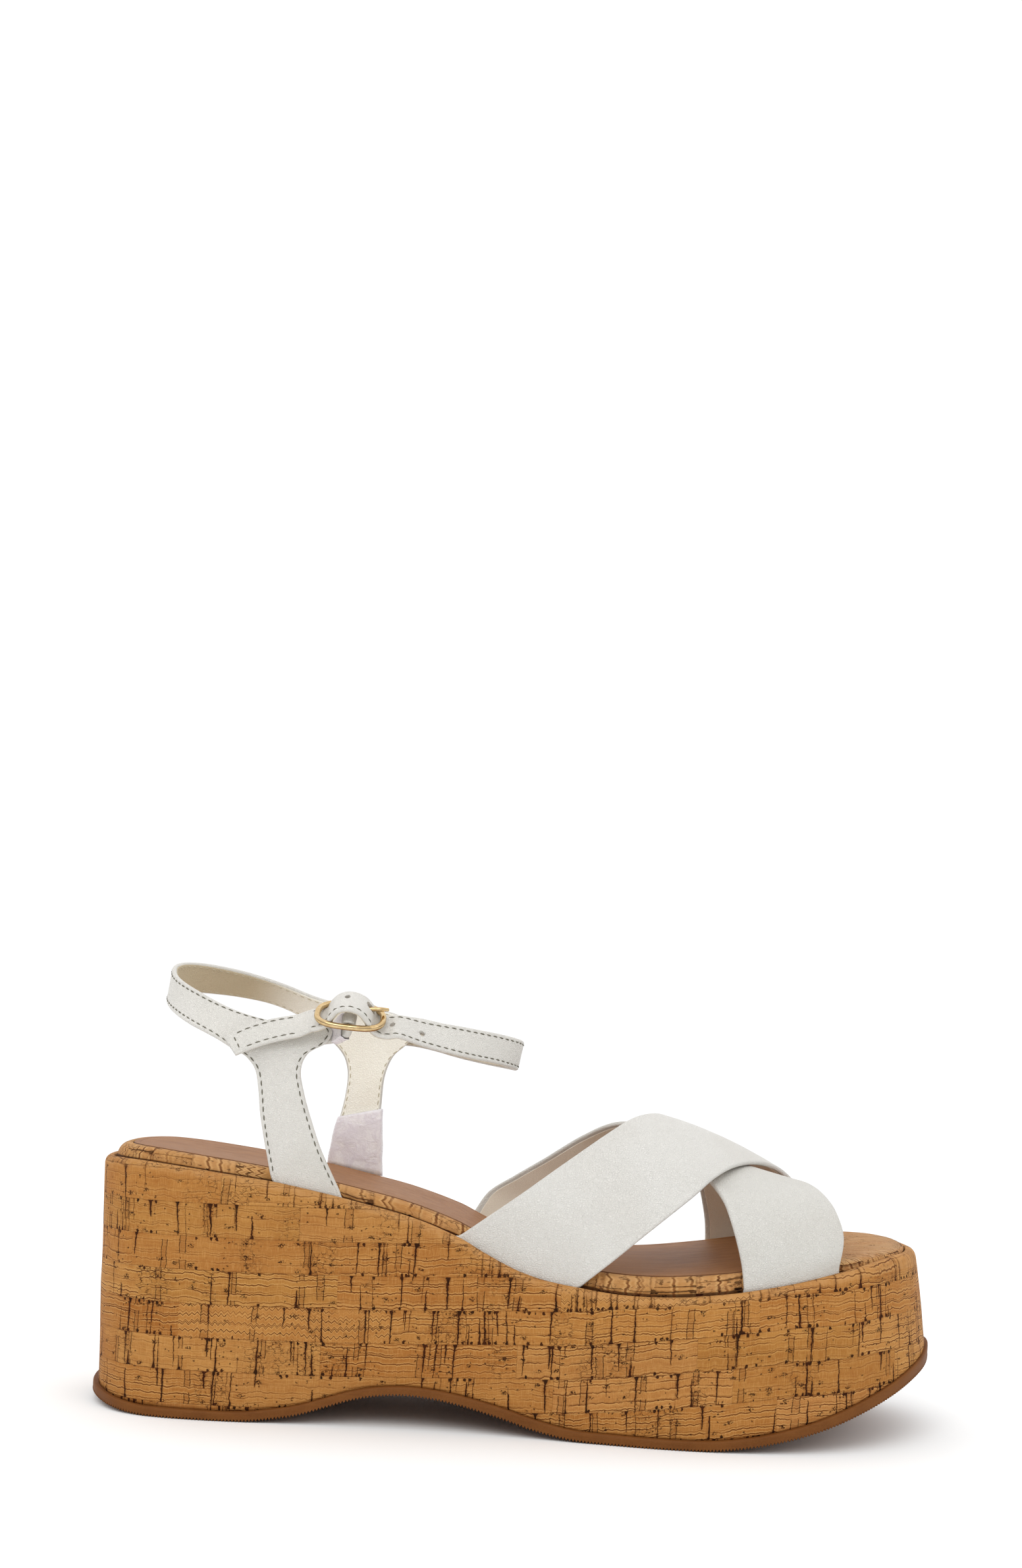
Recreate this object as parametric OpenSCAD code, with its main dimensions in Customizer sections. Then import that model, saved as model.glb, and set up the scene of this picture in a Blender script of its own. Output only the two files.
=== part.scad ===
// Wedge sandal for the right foot: a cork-wrapped platform wedge on a rubber outsole,
// a padded footbed, two vamp straps crossed over the instep and an ankle strap on two
// risers, closed by a small racetrack buckle on the outer side.
// +X points to the toe, +Y to the inner (big toe) side, +Z up. Units are millimetres.

/* [Sole] */
// Rubber outsole thickness under the heel
outsole_t = 3; // [2.5:0.1:6]
// How far the outsole stands out beyond the wedge wall, less at the toe
outsole_lip = 1.6; // [0.5:0.1:3]
// Cork veneer thickness on the wedge wall
cork_t = 0.8; // [0.5:0.1:1.2]
// Depth of the recess in the wedge top that takes the strap ends
recess_depth = 2.0; // [1.2:0.1:2.5]

/* [Footbed] */
// Insole board thickness
board_t = 1.2; // [0.8:0.1:2]
// Sock lining thickness
sock_t = 0.9; // [0.5:0.1:1.5]
// Cork rand thickness round the footbed
rand_t = 0.8; // [0.5:0.1:1.2]

/* [Straps] */
// Upper leather thickness
leather_t = 1.0; // [0.8:0.1:1.4]
// Strap lining thickness
lining_t = 0.75; // [0.5:0.05:1]
// Diameter of the adjustment holes in the ankle strap
hole_d = 1.6; // [1.2:0.1:2.5]

/* [Buckle] */
// Wire diameter of the buckle ring
wire_d = 1.8; // [1.4:0.1:2.4]
// Diameter of the centre bar
bar_d = 1.7; // [1.4:0.1:2]
// Length of the ring between wire centres
ring_l = 19; // [17:0.5:22]
// Width of the ring between wire centres
ring_w = 11.8; // [11:0.2:13]
// Diameter of the prong
prong_d = 1.3; // [1:0.1:1.6]
// Radial clearance of the prong eye and the leather loop on the bar
bar_fit = 0.05; // [0.03:0.01:0.1]

/* [Output] */
// Piece to draw

/* [Hidden] */
// drawing frame to object frame: the lists below start at the heel and on the foot's centre line
shift = [-127.4, -0.2, 0];
// plan of the wedge wall, heel centre, round the outer side to the toe and back
OUT = [[2.2,0],[3.5,-12],[7.5,-20.5],[15,-27.6],[27,-31.6],[42,-33],[62,-33],[84,-33.2],[106,-34.4],[128,-37.4],
 [150,-41.2],[170,-44.2],[190,-45],[208,-43],[224,-37.6],[237,-29],[246.5,-17],[251.5,-3],[252.6,8],
 [250.5,20],[244.5,31],[234,39],[220,43.6],[204,45.4],[188,45],[170,42.6],[150,38],[128,33],[106,30],
 [84,29.8],[62,31.2],[42,32],[27,31],[15,27.2],[7.5,20.5],[3.5,12]];
// ground line of the outsole, its thickness, the wedge rim and the footbed height over the rim
ZB = [[-3,4.2],[2,3.2],[7,1.8],[13,0.8],[20,0.1],[26,0],[50,0],[58,0.9],[66,2.4],[74,5],[81,7.3],[88,8.8],[96,9.4],
 [104,8.9],[112,7.6],[119,6],[126,4.2],[133,2.2],[143,0.4],[151,0],[181,0],[194,1.4],[207,4.2],[217,7.2],
 [226,10.6],[236,14.8],[244,18.4],[250,21],[256,23.4]];
TO = [[-3,-0.1],[40,-0.2],[60,0],[96,-0.3],[130,0.3],[150,0],[200,0],[225,0.4],[256,0.9]];
ZR = [[-3,72],[8,72.6],[20,72.4],[40,70.4],[55,68.5],[67,66.4],[78,64.2],[94,60.6],[109,55.4],[117,51.2],[126,47],
 [135,44.4],[146,42.8],[158,41.8],[170,42],[184,43.5],[194,45.1],[206,47.4],[218,50],[228,52],[238,53.6],
 [246,54],[256,53.8]];
RH = [[-3,3.7],[30,3.4],[60,3.2],[100,3.4],[150,4.8],[200,4.6],[218,3.2],[230,2.2],[242,1.6],[256,1.4]];
// the crossed strap on top: rear edge, front edge, camber and its direction
OV = [[[118.5,-32.8,62],[153.2,-39,50.5],0.3,[0,-1,0]],
 [[128.5,-32.4,69.5],[160.6,-38.4,57],0.4,[0,-1,0.3]],
 [[137.5,-29.5,76.3],[168.5,-36,63.5],0.6,[0,-1,0.6]],
 [[147,-24.5,83],[177,-31,70],0.9,[0,-0.8,0.8]],
 [[155,-16.5,88],[184,-24.5,75.4],1.1,[0,-0.5,1]],
 [[160.5,-8.5,90.6],[191.5,-15,78.2],1.3,[0.3,-0.2,1]],
 [[167,0,91.4],[200,-3,78.2],1.4,[0.3,0,1]],
 [[172.5,9.5,89.3],[207,7.5,75.8],1.4,[0.3,0.2,1]],
 [[178,19,83.5],[213,17,71.5],1.2,[0.2,0.5,1]],
 [[182.8,28,75],[217.8,25.5,66],1,[0,1,0.8]],
 [[186,35,65],[221.3,33,60],0.9,[0,1,0.4]],
 [[188.3,39.5,55],[223.6,38.3,57.5],1.2,[0,1,0]]];
// the crossed strap underneath
UN = [[[189.8,-41,51.5],[219,-37.2,56.5],1,[0,-1,0]],
 [[188.5,-39.6,57.5],[219.4,-35,61],0.8,[0,-1,0.2]],
 [[187,-35.8,63.5],[218.6,-31,65.3],0.8,[0,-1,0.5]],
 [[185.2,-30,69],[217.2,-25.5,69],0.9,[0,-0.8,0.8]],
 [[182.5,-21.5,73],[214.6,-17,72.2],1,[0,-0.5,1]],
 [[178,-12,78.2],[211,-8.5,73.6],1,[0,-0.2,1]],
 [[172,-2.5,83.8],[206,0,73.1],0.8,[0.2,0,1]],
 [[165.5,6.5,87.6],[199.5,8.5,73.2],0.7,[0.2,0.2,1]],
 [[156,15.5,87.4],[190,17,72],0.8,[0,0.4,1]],
 [[146.5,24.3,82.2],[178.5,25,68.7],0.9,[0,0.8,0.8]],
 [[135,29.8,74],[166.5,31.6,63],0.7,[0,1,0.5]],
 [[126,31.5,68],[156,34.6,55.8],0.5,[0,1,0.2]],
 [[117.8,31,62.4],[149.2,35.6,49.9],0.3,[0,1,0]]];
// the quarter: up the outer riser, round the heel and down the inner riser
QU = [[[53.8,-30.2,74.5],[72.6,-30.4,70.8]], [[52.5,-31.4,81],[69.2,-31.8,78]],
 [[51.3,-32.4,88],[66.3,-32.8,86]], [[50.7,-33,94],[63.8,-33.4,94]],
 [[49.6,-33.3,100],[62.6,-33.6,100.6]], [[47.2,-33.5,103.4],[64.4,-33.8,105.4]],
 [[44.8,-33.6,105],[69.4,-34,108.8]], [[42.4,-33.3,106.3],[70.6,-32.8,113]],
 [[39.5,-32.6,108],[62,-31.4,114.2]], [[35.5,-31.2,110.2],[52,-29.2,114.8]],
 [[29.5,-27.6,112.8],[41,-26,117.6]], [[24,-21,115],[30,-20.6,122.3]],
 [[20,-12.6,117.2],[22.4,-12,126]], [[18.4,-4,119.2],[19.2,-2.4,128.8]],
 [[18.8,5.6,120.6],[19.6,5.6,130.4]], [[21.4,14,121.6],[23.2,12.4,131]],
 [[27.2,21.5,121.8],[29.6,18,130.6]], [[36,27,121.2],[39,23,128.9]],
 [[46,30,119.4],[49.5,26.4,126]], [[55,32,115.8],[61,28.8,122]],
 [[61,32.6,111.4],[73,30.4,119.4]], [[65.5,32.8,107.8],[85,31.2,118]],
 [[68.8,32.8,104.2],[92.5,32,113]], [[70.3,32.6,100.8],[89.6,32.4,108.4]],
 [[70.9,32.2,96.6],[85.3,32.4,104]], [[70.5,31.4,91],[82.9,31.6,97.6]],
 [[69.4,30.4,85],[82.3,30.4,89]], [[68,29,79],[82.3,28.6,79.6]]];
// the ankle strap: lower and upper edge from the inner riser round the front to the buckle
FS = [[[80.5,35.3,107.8],[79,33.5,117]], [[86,35.5,107.8],[85.6,33.9,117.2]], [[92.5,35.1,107.4],[92.8,33.9,116.8]],
 [[99,30,106.4],[99.8,28.4,115.7]], [[107,23.6,104.6],[108.4,22.6,114]], [[115.6,15,103.2],[117,14.6,112.5]],
 [[121.8,7.6,102.4],[123.2,8,111.5]], [[124.7,-0.5,102.2],[126.4,-0.5,111]],
 [[123.8,-9.2,103],[125,-9.2,112]], [[118.2,-18.2,104.7],[118.6,-16.8,113.5]],
 [[108.4,-27.2,106.6],[108.2,-24.6,115.2]], [[98,-34.2,109.2],[98,-30,116.6]]];
// the same strap through the buckle, in the buckle's own frame: along, across and height of each edge
FB = [[14.5,-4.3,-1.7,4.7,-1.7],[11,-4.5,-2.2,4.6,-2.2],[8.6,-4.5,-1.9,4.4,-2.1],[6.5,-4.3,0,4.3,-0.3],
 [4.6,-4.4,3.2,4.4,2],[1.5,-4.4,6.2,4.4,4.4],[-1.5,-4.4,6.2,4.4,4.4],[-4.4,-4.4,3.2,4.4,2],
 [-6.4,-4.4,0,4.4,-0.3],[-8.8,-4.5,-2,4.6,-2],[-10.7,-4.3,-3.2,4.8,-3.2]];
// the strap tail from its bend to its free end
TL = [[[62,-38.2,110.7],[60.6,-32.9,116.8]], [[57.4,-37.9,109.5],[55,-33.2,115.6]],
 [[52.6,-37.9,108],[49.6,-34,114]], [[48.2,-38.1,106.2],[44.8,-34.8,112]], [[44.4,-38.3,104.4],[40.6,-35.9,109.2]]];
// the folded leather tab that holds the buckle bar, from under the riser's arm to the bar
TB = [[[63,-30.9,107.6],[62,-28.5,112.6]], [[67,-31.1,108.4],[66.6,-29.2,113.2]],
 [[71.2,-32.4,109.2],[71,-30.6,114.4]], [[73.8,-37,110.8],[73.4,-32.2,117]]];
// buckle frame: centre, along the strap, across the strap, outward
BC = [76.4,-38.2,116.9];
BU = unit([1,0,-0.07]);
BV = unit(perp([-0.04,0.72,0.69], BU));
BN = cross(BU, BV);
// bend of the tail at the heel side of the buckle
HP = BC - 12.3*BU + 0.4*BV - 5.1*BN;
HA = unit([-1.2,5.8,5.9]);
NU = 5;
$fn = 28;

function unit(v) = v/norm(v);
function perp(v,u) = v - u*(v*u);
function cr(a,b,c,d,t) = 0.5*((2*b)+(c-a)*t+(2*a-5*b+4*c-d)*(t*t)+(3*b-a-3*c+d)*(t*t*t));
function closed(P,m) = let(n=len(P)) [for(i=[0:n-1]) for(k=[0:m-1]) cr(P[(i+n-1)%n],P[i],P[(i+1)%n],P[(i+2)%n],k/m)];
function opened(P,m) = let(n=len(P)) concat([for(i=[0:n-2]) for(k=[0:m-1])
 cr(i>0 ? P[i-1] : 2*P[0]-P[1], P[i], P[i+1], i+2<n ? P[i+2] : 2*P[n-1]-P[n-2], k/m)], [P[n-1]]);
function seg(T,x,i=0) = i>=len(T)-2 || x<T[i+1][0] ? i : seg(T,x,i+1);
function tg(T,i) = let(a=max(i-1,0), b=min(i+1,len(T)-1)) (T[b][1]-T[a][1])/(T[b][0]-T[a][0]);
function tab(T,x) = let(i=seg(T,x), h=T[i+1][0]-T[i][0], t=min(1,max(0,(x-T[i][0])/h)), q=t*t, c=q*t)
 (2*c-3*q+1)*T[i][1]+(c-2*q+t)*h*tg(T,i)+(3*q-2*c)*T[i+1][1]+(c-q)*h*tg(T,i+1);
LAT = [for(i=[1:16]) OUT[i]];
MED = [for(i=[35:-1:20]) OUT[i]];
function zb(x) = tab(ZB,x);
function zo(x) = tab(ZB,x)+outsole_t+tab(TO,x);
function zr(x) = tab(ZR,x);
function zt(x) = tab(ZR,x)+tab(RH,x);
function toe(x) = let(t=min(1,max(0,(x-205)/45))) t*t*(3-2*t);
function heel(x) = let(t=min(1,max(0,(24-x)/22))) t*t*(3-2*t);
PLAN = closed(OUT,3);
function ins(d,e=0,g=0) = let(P=PLAN, n=len(P)) [for(i=[0:n-1]) let(t=unit(P[(i+1)%n]-P[(i+n-1)%n])) P[i]+[-t[1],t[0]]*(d+e*toe(P[i][0])+g*heel(P[i][0]))];
// ring of points at an inset and a level: level 0 rests on the outsole, 1 on the rim, 2 on the footbed top;
// e is the extra inset at the toe, k draws the toe end back
function ring(d,lv,dz,e=3.2,k=0) = [for(p=ins(d,e,lv==0 ? 1.2 : 0)) let(x=p[0]-k*toe(p[0])) [x,p[1],(lv==0 ? zo(x) : lv==1 ? zr(x) : zt(x))+dz]];
function side(n,a,b) = [for(i=[0:n-1]) let(j=(i+1)%n) each [[a+i,b+i,a+j],[a+j,b+i,b+j]]];
function side2(n,a,b) = [for(i=[0:n-1]) let(j=(i+1)%n) each [[a+i,b+i,b+j],[a+i,b+j,a+j]]];
// stacked rings closed by caps across the foot
module loft(L) {
 n=len(L[0]); m=len(L); t=(m-1)*n; h=n/2;
 polyhedron([for(r=L) each r], concat(
  [for(k=[0:m-2]) each side2(n,k*n,(k+1)*n)],
  [[0,1,n-1],[h-1,h,h+1]], [for(i=[1:h-2]) each [[i,i+1,n-i],[i+1,n-i-1,n-i]]],
  [[t,t+n-1,t+1],[t+h-1,t+h+1,t+h]], [for(i=[1:h-2]) each [[t+i,t+n-i,t+i+1],[t+i+1,t+n-i,t+n-i-1]]]), convexity=6);
}
// rings that close on themselves: a shell running round the plan
module hoop(L) {
 n=len(L[0]); m=len(L);
 polyhedron([for(r=L) each r], [for(k=[0:m-1]) each side(n,k*n,((k+1)%m)*n)], convexity=6);
}
function row(A,B,c=0,v=[0,0,1]) = [for(k=[0:NU]) let(u=k/NU) A+(B-A)*u+unit(v)*(c*4*u*(1-u))];
function base(s,xa,xb,d,dz) = [for(k=[0:NU]) let(x=xa+(xb-xa)*k/NU, e=d+4*toe(x)) [x, s<0 ? tab(LAT,x)+e : tab(MED,x)-e, zr(x)+dz]];
// a strap end turned in under the footbed; sx shifts the row that leaves the rim
function foot(s,xa,xb,sx) = [base(s,xa-sx,xb-sx,13,-1.88),base(s,xa-sx,xb-sx,8,-1.88),base(s,xa-sx,xb-sx,4.7,-1.88),
 base(s,xa-sx,xb-sx,3.7,-1.4),base(s,xa-0.5*sx,xb-0.5*sx,3.2,-0.4),base(s,xa+sx,xb+sx,3.2,1.6)];
function rev(L) = [for(i=[len(L)-1:-1:0]) L[i]];
function over() = concat(foot(-1,109.5,145,1.4), [for(r=OV) row(r[0],r[1],r[2],r[3])], rev(foot(1,189,223.6,0)));
function under() = concat(foot(-1,190.5,218.6,0), [for(r=UN) row(r[0],r[1],r[2],r[3])], rev(foot(1,111.5,144,1.2)));
function quarter() = concat(foot(-1,55.4,75.4,-0.6), [for(r=QU) row(r[0],r[1])], rev(foot(1,66,82.6,0.5)));
function bk(u,v,w) = BC+BU*u+BV*v+BN*w;
function ankle() = concat([for(r=FS) row(r[0],r[1])], [for(r=FB) row(bk(r[0],r[1],r[2]), bk(r[0],r[3],r[4]))]);
function nrm(G,i,j) = let(R=len(G)-1, C=len(G[0])-1) unit(cross(G[i][min(j+1,C)]-G[i][max(j-1,0)], G[min(i+1,R)][j]-G[max(i-1,0)][j]));
function off(G,t) = [for(i=[0:len(G)-1]) [for(j=[0:len(G[0])-1]) G[i][j]-nrm(G,i,j)*t]];
// a sheet between two depths under the outer face grid
module sheet(G,ta,tb) {
 A=off(G,ta); B=off(G,tb); R=len(G); C=len(G[0]); N=R*C;
 function f(a,b,c,d) = [[a,b,c],[a,c,d]];
 polyhedron(concat([for(r=A) each r],[for(r=B) each r]), concat(
  [for(i=[0:R-2]) for(j=[0:C-2]) let(a=i*C+j) each f(a,a+C,a+C+1,a+1)],
  [for(i=[0:R-2]) for(j=[0:C-2]) let(a=N+i*C+j) each f(a,a+1,a+C+1,a+C)],
  [for(i=[0:R-2]) let(a=i*C) each f(a,a+N,a+N+C,a+C)],
  [for(i=[0:R-2]) let(a=i*C+C-1) each f(a,a+C,a+N+C,a+N)],
  [for(j=[0:C-2]) let(a=j) each f(a,a+1,a+N+1,a+N)],
  [for(j=[0:C-2]) let(a=(R-1)*C+j) each f(a,a+N,a+N+1,a+1)]), convexity=10);
}
function cut(L,a,b) = [for(i=[a:len(L)-1-b]) L[i]];
module place() translate(shift) children();
// the buckle's own frame
module at_buckle() multmatrix([[BU[0],BV[0],BN[0],BC[0]],[BU[1],BV[1],BN[1],BC[1]],[BU[2],BV[2],BN[2],BC[2]],[0,0,0,1]]) children();
module prong_slot() at_buckle() translate([1.9,0.4,0]) cube([5.9,2.6,3.5]);
// adjustment holes ahead of the buckle, bored square to the strap
module strap_holes() {
 for(p=[[88.3,-36.4,114.6,52],[96.6,-33.6,113,38]]) translate([p[0],p[1],p[2]]) rotate([90-p[3],0,0]) translate([0,0,-4]) cylinder(d=hole_d,h=8);
}

module outsole() place() color([0.36,0.22,0.14]) {
 X=[for(i=[-1:1:128]) 2*i];
 intersection() {
  linear_extrude(40) polygon(ins(-outsole_lip,1.2,1.2));
  rotate([90,0,0]) translate([0,0,-60]) linear_extrude(120) polygon(concat([for(x=X) [x,zb(x)]],[for(i=[len(X)-1:-1:0]) [X[i],zo(X[i])]]));
 }
}
module wedge_core() place() color([0.85,0.82,0.75])
 loft([ring(cork_t+0.12,0,0.14,0), ring(cork_t+0.35,1,-2.35), ring(cork_t+0.9,1,-1.4), ring(2.18,1,-1.04), ring(2.18,1,-recess_depth-0.08)]);
module cork_side_wrap() place() color([0.76,0.55,0.34])
 hoop([ring(0,0,0.12,0), ring(0.2,1,-2.2), ring(0.7,1,-0.75), ring(1.9,1,-0.05), ring(3,1,-0.12), ring(3,1,-recess_depth),
  ring(2.25,1,-recess_depth), ring(2.25,1,-0.94), ring(1.6,1,-1.1), ring(0.2+cork_t,1,-2.2), ring(cork_t,0,0.12,0)]);
module bottom_filler() place() color([0.62,0.47,0.3])
 loft([ring(17.2,1,-recess_depth), ring(17.2,1,-0.8)]);
module insole_board() place() color([0.7,0.6,0.45])
 loft([ring(6.15,1,-0.66), ring(6.15,1,-0.66+board_t)]);
module footbed_cushion() place() color([0.93,0.86,0.74])
 loft([ring(6.25,1,-0.6+board_t,3.2,28), ring(6.3,2,-sock_t-0.9,3.2,28), ring(7.2,2,-sock_t-0.06,3.2,28)]);
module footbed_cork_rand() place() color([0.78,0.58,0.37])
 hoop([ring(5.3,1,-0.6), ring(5.1,1,0), ring(5.4,2,-1.3), ring(6.2,2,-0.35), ring(6.9,2,-0.12,3.2,10), ring(7.6,2,-0.05,3.2,19), ring(8.2,2,-0.04,3.2,28),
  ring(8.2,2,-sock_t,3.2,28), ring(7.2,2,-sock_t,3.2,28), ring(6.22,2,-sock_t-0.75,3.2,28), ring(6.18,1,0.85,3.2,28), ring(6.15,1,0.79,3.2,19),
  ring(6.12,1,0.73,3.2,10), ring(6.08,1,0.67), ring(6.08,1,-0.6)]);
module sock_lining() place() color([0.6,0.4,0.25])
 loft([ring(8.3,2,-sock_t,3.2,28), ring(8.3,2,-0.2,3.2,28), ring(8.7,2,0,3.2,28)]);

module vamp_over_outer() place() color([0.93,0.92,0.89]) sheet(opened(over(),2),0,leather_t);
module vamp_over_lining() place() color([0.8,0.72,0.6]) sheet(cut(opened(over(),2),8,8),leather_t+0.07,leather_t+lining_t);
module vamp_under_outer() place() color([0.93,0.92,0.89]) sheet(opened(under(),2),0,leather_t);
module vamp_under_lining() place() color([0.8,0.72,0.6]) sheet(cut(opened(under(),2),8,8),leather_t+0.07,leather_t+lining_t);
module quarter_outer() place() color([0.93,0.92,0.89]) sheet(opened(quarter(),2),0,leather_t);
module quarter_lining() place() color([0.88,0.82,0.7]) sheet(cut(opened(quarter(),2),8,8),leather_t+0.07,leather_t+lining_t);
// a closed band of film round a strap between two rows of its grid
function band(G,i,to,ti,ex) = let(C=len(G[0])-1, e=unit(G[i][C]-G[i][0]))
 concat([for(j=[0:C]) G[i][j]+nrm(G,i,j)*to+e*(j==0 ? -ex : j==C ? ex : 0)],
  [for(j=[C:-1:0]) G[i][j]-nrm(G,i,j)*ti+e*(j==0 ? -ex : j==C ? ex : 0)]);
module wrap(G,a,b,t) let(T=t+0.12) hoop(concat([for(i=[a:b]) band(G,i,0.42,T+0.3,0.5)], [for(i=[b:-1:a]) band(G,i,0.12,T,0.2)]));
module riser_film() place() color([0.85,0.83,0.88]) wrap(opened(quarter(),4),129,135,leather_t+lining_t);
module ankle_strap_outer() place() color([0.93,0.92,0.89]) difference() { sheet(opened(ankle(),2),0,leather_t); prong_slot(); strap_holes(); }
module ankle_strap_lining() place() color([0.88,0.82,0.7]) difference() { sheet(opened(ankle(),2),leather_t+0.05,leather_t+lining_t); prong_slot(); strap_holes(); }

HN = unit(perp(BN,HA));
HU = cross(HN,HA);
function tail() = concat([row(HP+HN*0.9-HA*4.2,HP+HN*0.9+HA*4.2)], [for(r=TL) row(r[0],r[1])]);
module at_bend() multmatrix([[HU[0],HN[0],HA[0],HP[0]],[HU[1],HN[1],HA[1],HP[1]],[HU[2],HN[2],HA[2],HP[2]],[0,0,0,1]]) children();
module strap_tail_outer() place() color([0.93,0.92,0.89]) {
 sheet(opened(tail(),2),0,leather_t);
 at_bend() translate([0,0,-4.2]) cylinder(r=0.9,h=8.4);
}
module strap_tail_lining() place() color([0.88,0.82,0.7]) sheet(cut(opened(tail(),2),2,0),leather_t+0.05,leather_t+lining_t);
function tabg() = concat([for(r=TB) row(r[1],r[0])], [row(bk(-1,4.3,-3.2),bk(-1,-4.3,-3.2)), row(bk(-1,4.3,0),bk(-1,-4.3,0))]);
module buckle_tab() place() color([0.9,0.88,0.84]) difference() {
 union() { sheet(opened(tabg(),2),0,2); at_buckle() rotate([-90,0,0]) translate([0,0,-4.3]) cylinder(r=1.95,h=8.6); }
 at_buckle() rotate([-90,0,0]) translate([0,0,-6]) cylinder(d=bar_d+2*bar_fit,h=12);
 at_buckle() translate([-2.3,0.2,-2.2]) cube([5.5,2.1,5]);
}
module buckle_film() place() color([0.78,0.76,0.84]) wrap(opened(tabg(),4),8,13,2);
module buckle_frame() place() color([0.9,0.74,0.45]) at_buckle() {
 rc=4.2; a=ring_l/2-rc; b=ring_w/2-rc;
 for(q=[[a,b,0],[-a,b,90],[-a,-b,180],[a,-b,270]]) translate([q[0],q[1],0]) rotate([0,0,q[2]]) rotate_extrude(angle=90) translate([rc,0]) circle(d=wire_d);
 for(s=[-1,1]) { translate([-a,s*ring_w/2,0]) rotate([0,90,0]) cylinder(d=wire_d,h=2*a); translate([s*ring_l/2,-b,0]) rotate([-90,0,0]) cylinder(d=wire_d,h=2*b); }
 translate([0,-ring_w/2,0]) rotate([-90,0,0]) cylinder(d=bar_d,h=ring_w);
}
module buckle_prong() place() color([0.92,0.77,0.48]) at_buckle() {
 difference() {
  union() {
   translate([0,0.55,0]) rotate([-90,0,0]) cylinder(r=1.7,h=1.3);
   translate([1.25,1.25,1]) rotate([0,84.6,0]) rotate([-6.9,0,0]) cylinder(d=prong_d,h=9.1);
  }
  rotate([-90,0,0]) translate([0,0,-1]) cylinder(d=bar_d+2*bar_fit,h=4);
 }
}

outsole();
wedge_core();
cork_side_wrap();
bottom_filler();
insole_board();
footbed_cushion();
footbed_cork_rand();
sock_lining();
vamp_over_outer();
vamp_over_lining();
vamp_under_outer();
vamp_under_lining();
quarter_outer();
quarter_lining();
riser_film();
ankle_strap_outer();
ankle_strap_lining();
strap_tail_outer();
strap_tail_lining();
buckle_tab();
buckle_film();
buckle_frame();
buckle_prong();
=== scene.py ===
import math
import bpy
import numpy as np
from mathutils import Matrix, Vector


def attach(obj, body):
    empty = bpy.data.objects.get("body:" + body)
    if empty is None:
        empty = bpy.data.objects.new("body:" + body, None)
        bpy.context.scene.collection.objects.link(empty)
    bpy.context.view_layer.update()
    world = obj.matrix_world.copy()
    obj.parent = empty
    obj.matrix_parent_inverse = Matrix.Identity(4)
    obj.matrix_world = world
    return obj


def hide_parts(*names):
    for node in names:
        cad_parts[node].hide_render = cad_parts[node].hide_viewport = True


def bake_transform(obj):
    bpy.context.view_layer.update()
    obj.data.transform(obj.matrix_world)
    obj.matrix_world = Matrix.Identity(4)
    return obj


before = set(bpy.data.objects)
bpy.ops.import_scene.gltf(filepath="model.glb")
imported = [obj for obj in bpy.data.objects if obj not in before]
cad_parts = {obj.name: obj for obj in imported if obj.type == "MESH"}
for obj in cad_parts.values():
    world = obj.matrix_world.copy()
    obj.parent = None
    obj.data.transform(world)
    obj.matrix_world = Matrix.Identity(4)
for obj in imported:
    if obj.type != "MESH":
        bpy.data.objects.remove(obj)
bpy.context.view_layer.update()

sc = bpy.context.scene
sc.view_settings.view_transform = "Standard"
sc.view_settings.look = "None"
sc.view_settings.exposure = 0
sc.view_settings.gamma = 1

# ------------------------------------------------------------------ shape data, in millimetres, heel at x 0
SH = np.array([-127.4, -0.2, 0.0])
OUT = [[2.2,0],[3.5,-12],[7.5,-20.5],[15,-27.6],[27,-31.6],[42,-33],[62,-33],[84,-33.2],[106,-34.4],[128,-37.4],
 [150,-41.2],[170,-44.2],[190,-45],[208,-43],[224,-37.6],[237,-29],[246.5,-17],[251.5,-3],[252.6,8],
 [250.5,20],[244.5,31],[234,39],[220,43.6],[204,45.4],[188,45],[170,42.6],[150,38],[128,33],[106,30],
 [84,29.8],[62,31.2],[42,32],[27,31],[15,27.2],[7.5,20.5],[3.5,12]]
ZB = [[-3,4.2],[2,3.2],[7,1.8],[13,0.8],[20,0.1],[26,0],[50,0],[58,0.9],[66,2.4],[74,5],[81,7.3],[88,8.8],[96,9.4],
 [104,8.9],[112,7.6],[119,6],[126,4.2],[133,2.2],[143,0.4],[151,0],[181,0],[194,1.4],[207,4.2],[217,7.2],
 [226,10.6],[236,14.8],[244,18.4],[250,21],[256,23.4]]
TO = [[-3,-0.1],[40,-0.2],[60,0],[96,-0.3],[130,0.3],[150,0],[200,0],[225,0.4],[256,0.9]]
ZR = [[-3,72],[8,72.6],[20,72.4],[40,70.4],[55,68.5],[67,66.4],[78,64.2],[94,60.6],[109,55.4],[117,51.2],[126,47],
 [135,44.4],[146,42.8],[158,41.8],[170,42],[184,43.5],[194,45.1],[206,47.4],[218,50],[228,52],[238,53.6],
 [246,54],[256,53.8]]
RH = [[-3,3.7],[30,3.4],[60,3.2],[100,3.4],[150,4.8],[200,4.6],[218,3.2],[230,2.2],[242,1.6],[256,1.4]]
RISE = [[-3,0],[70,0],[102,1],[116,1.8],[129,2.6],[141,3.2],[152,4.5],[193,10],[205,11.6],[221,12.6],[233,13.9],[246,14.5],[256,14.8]]
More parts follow.
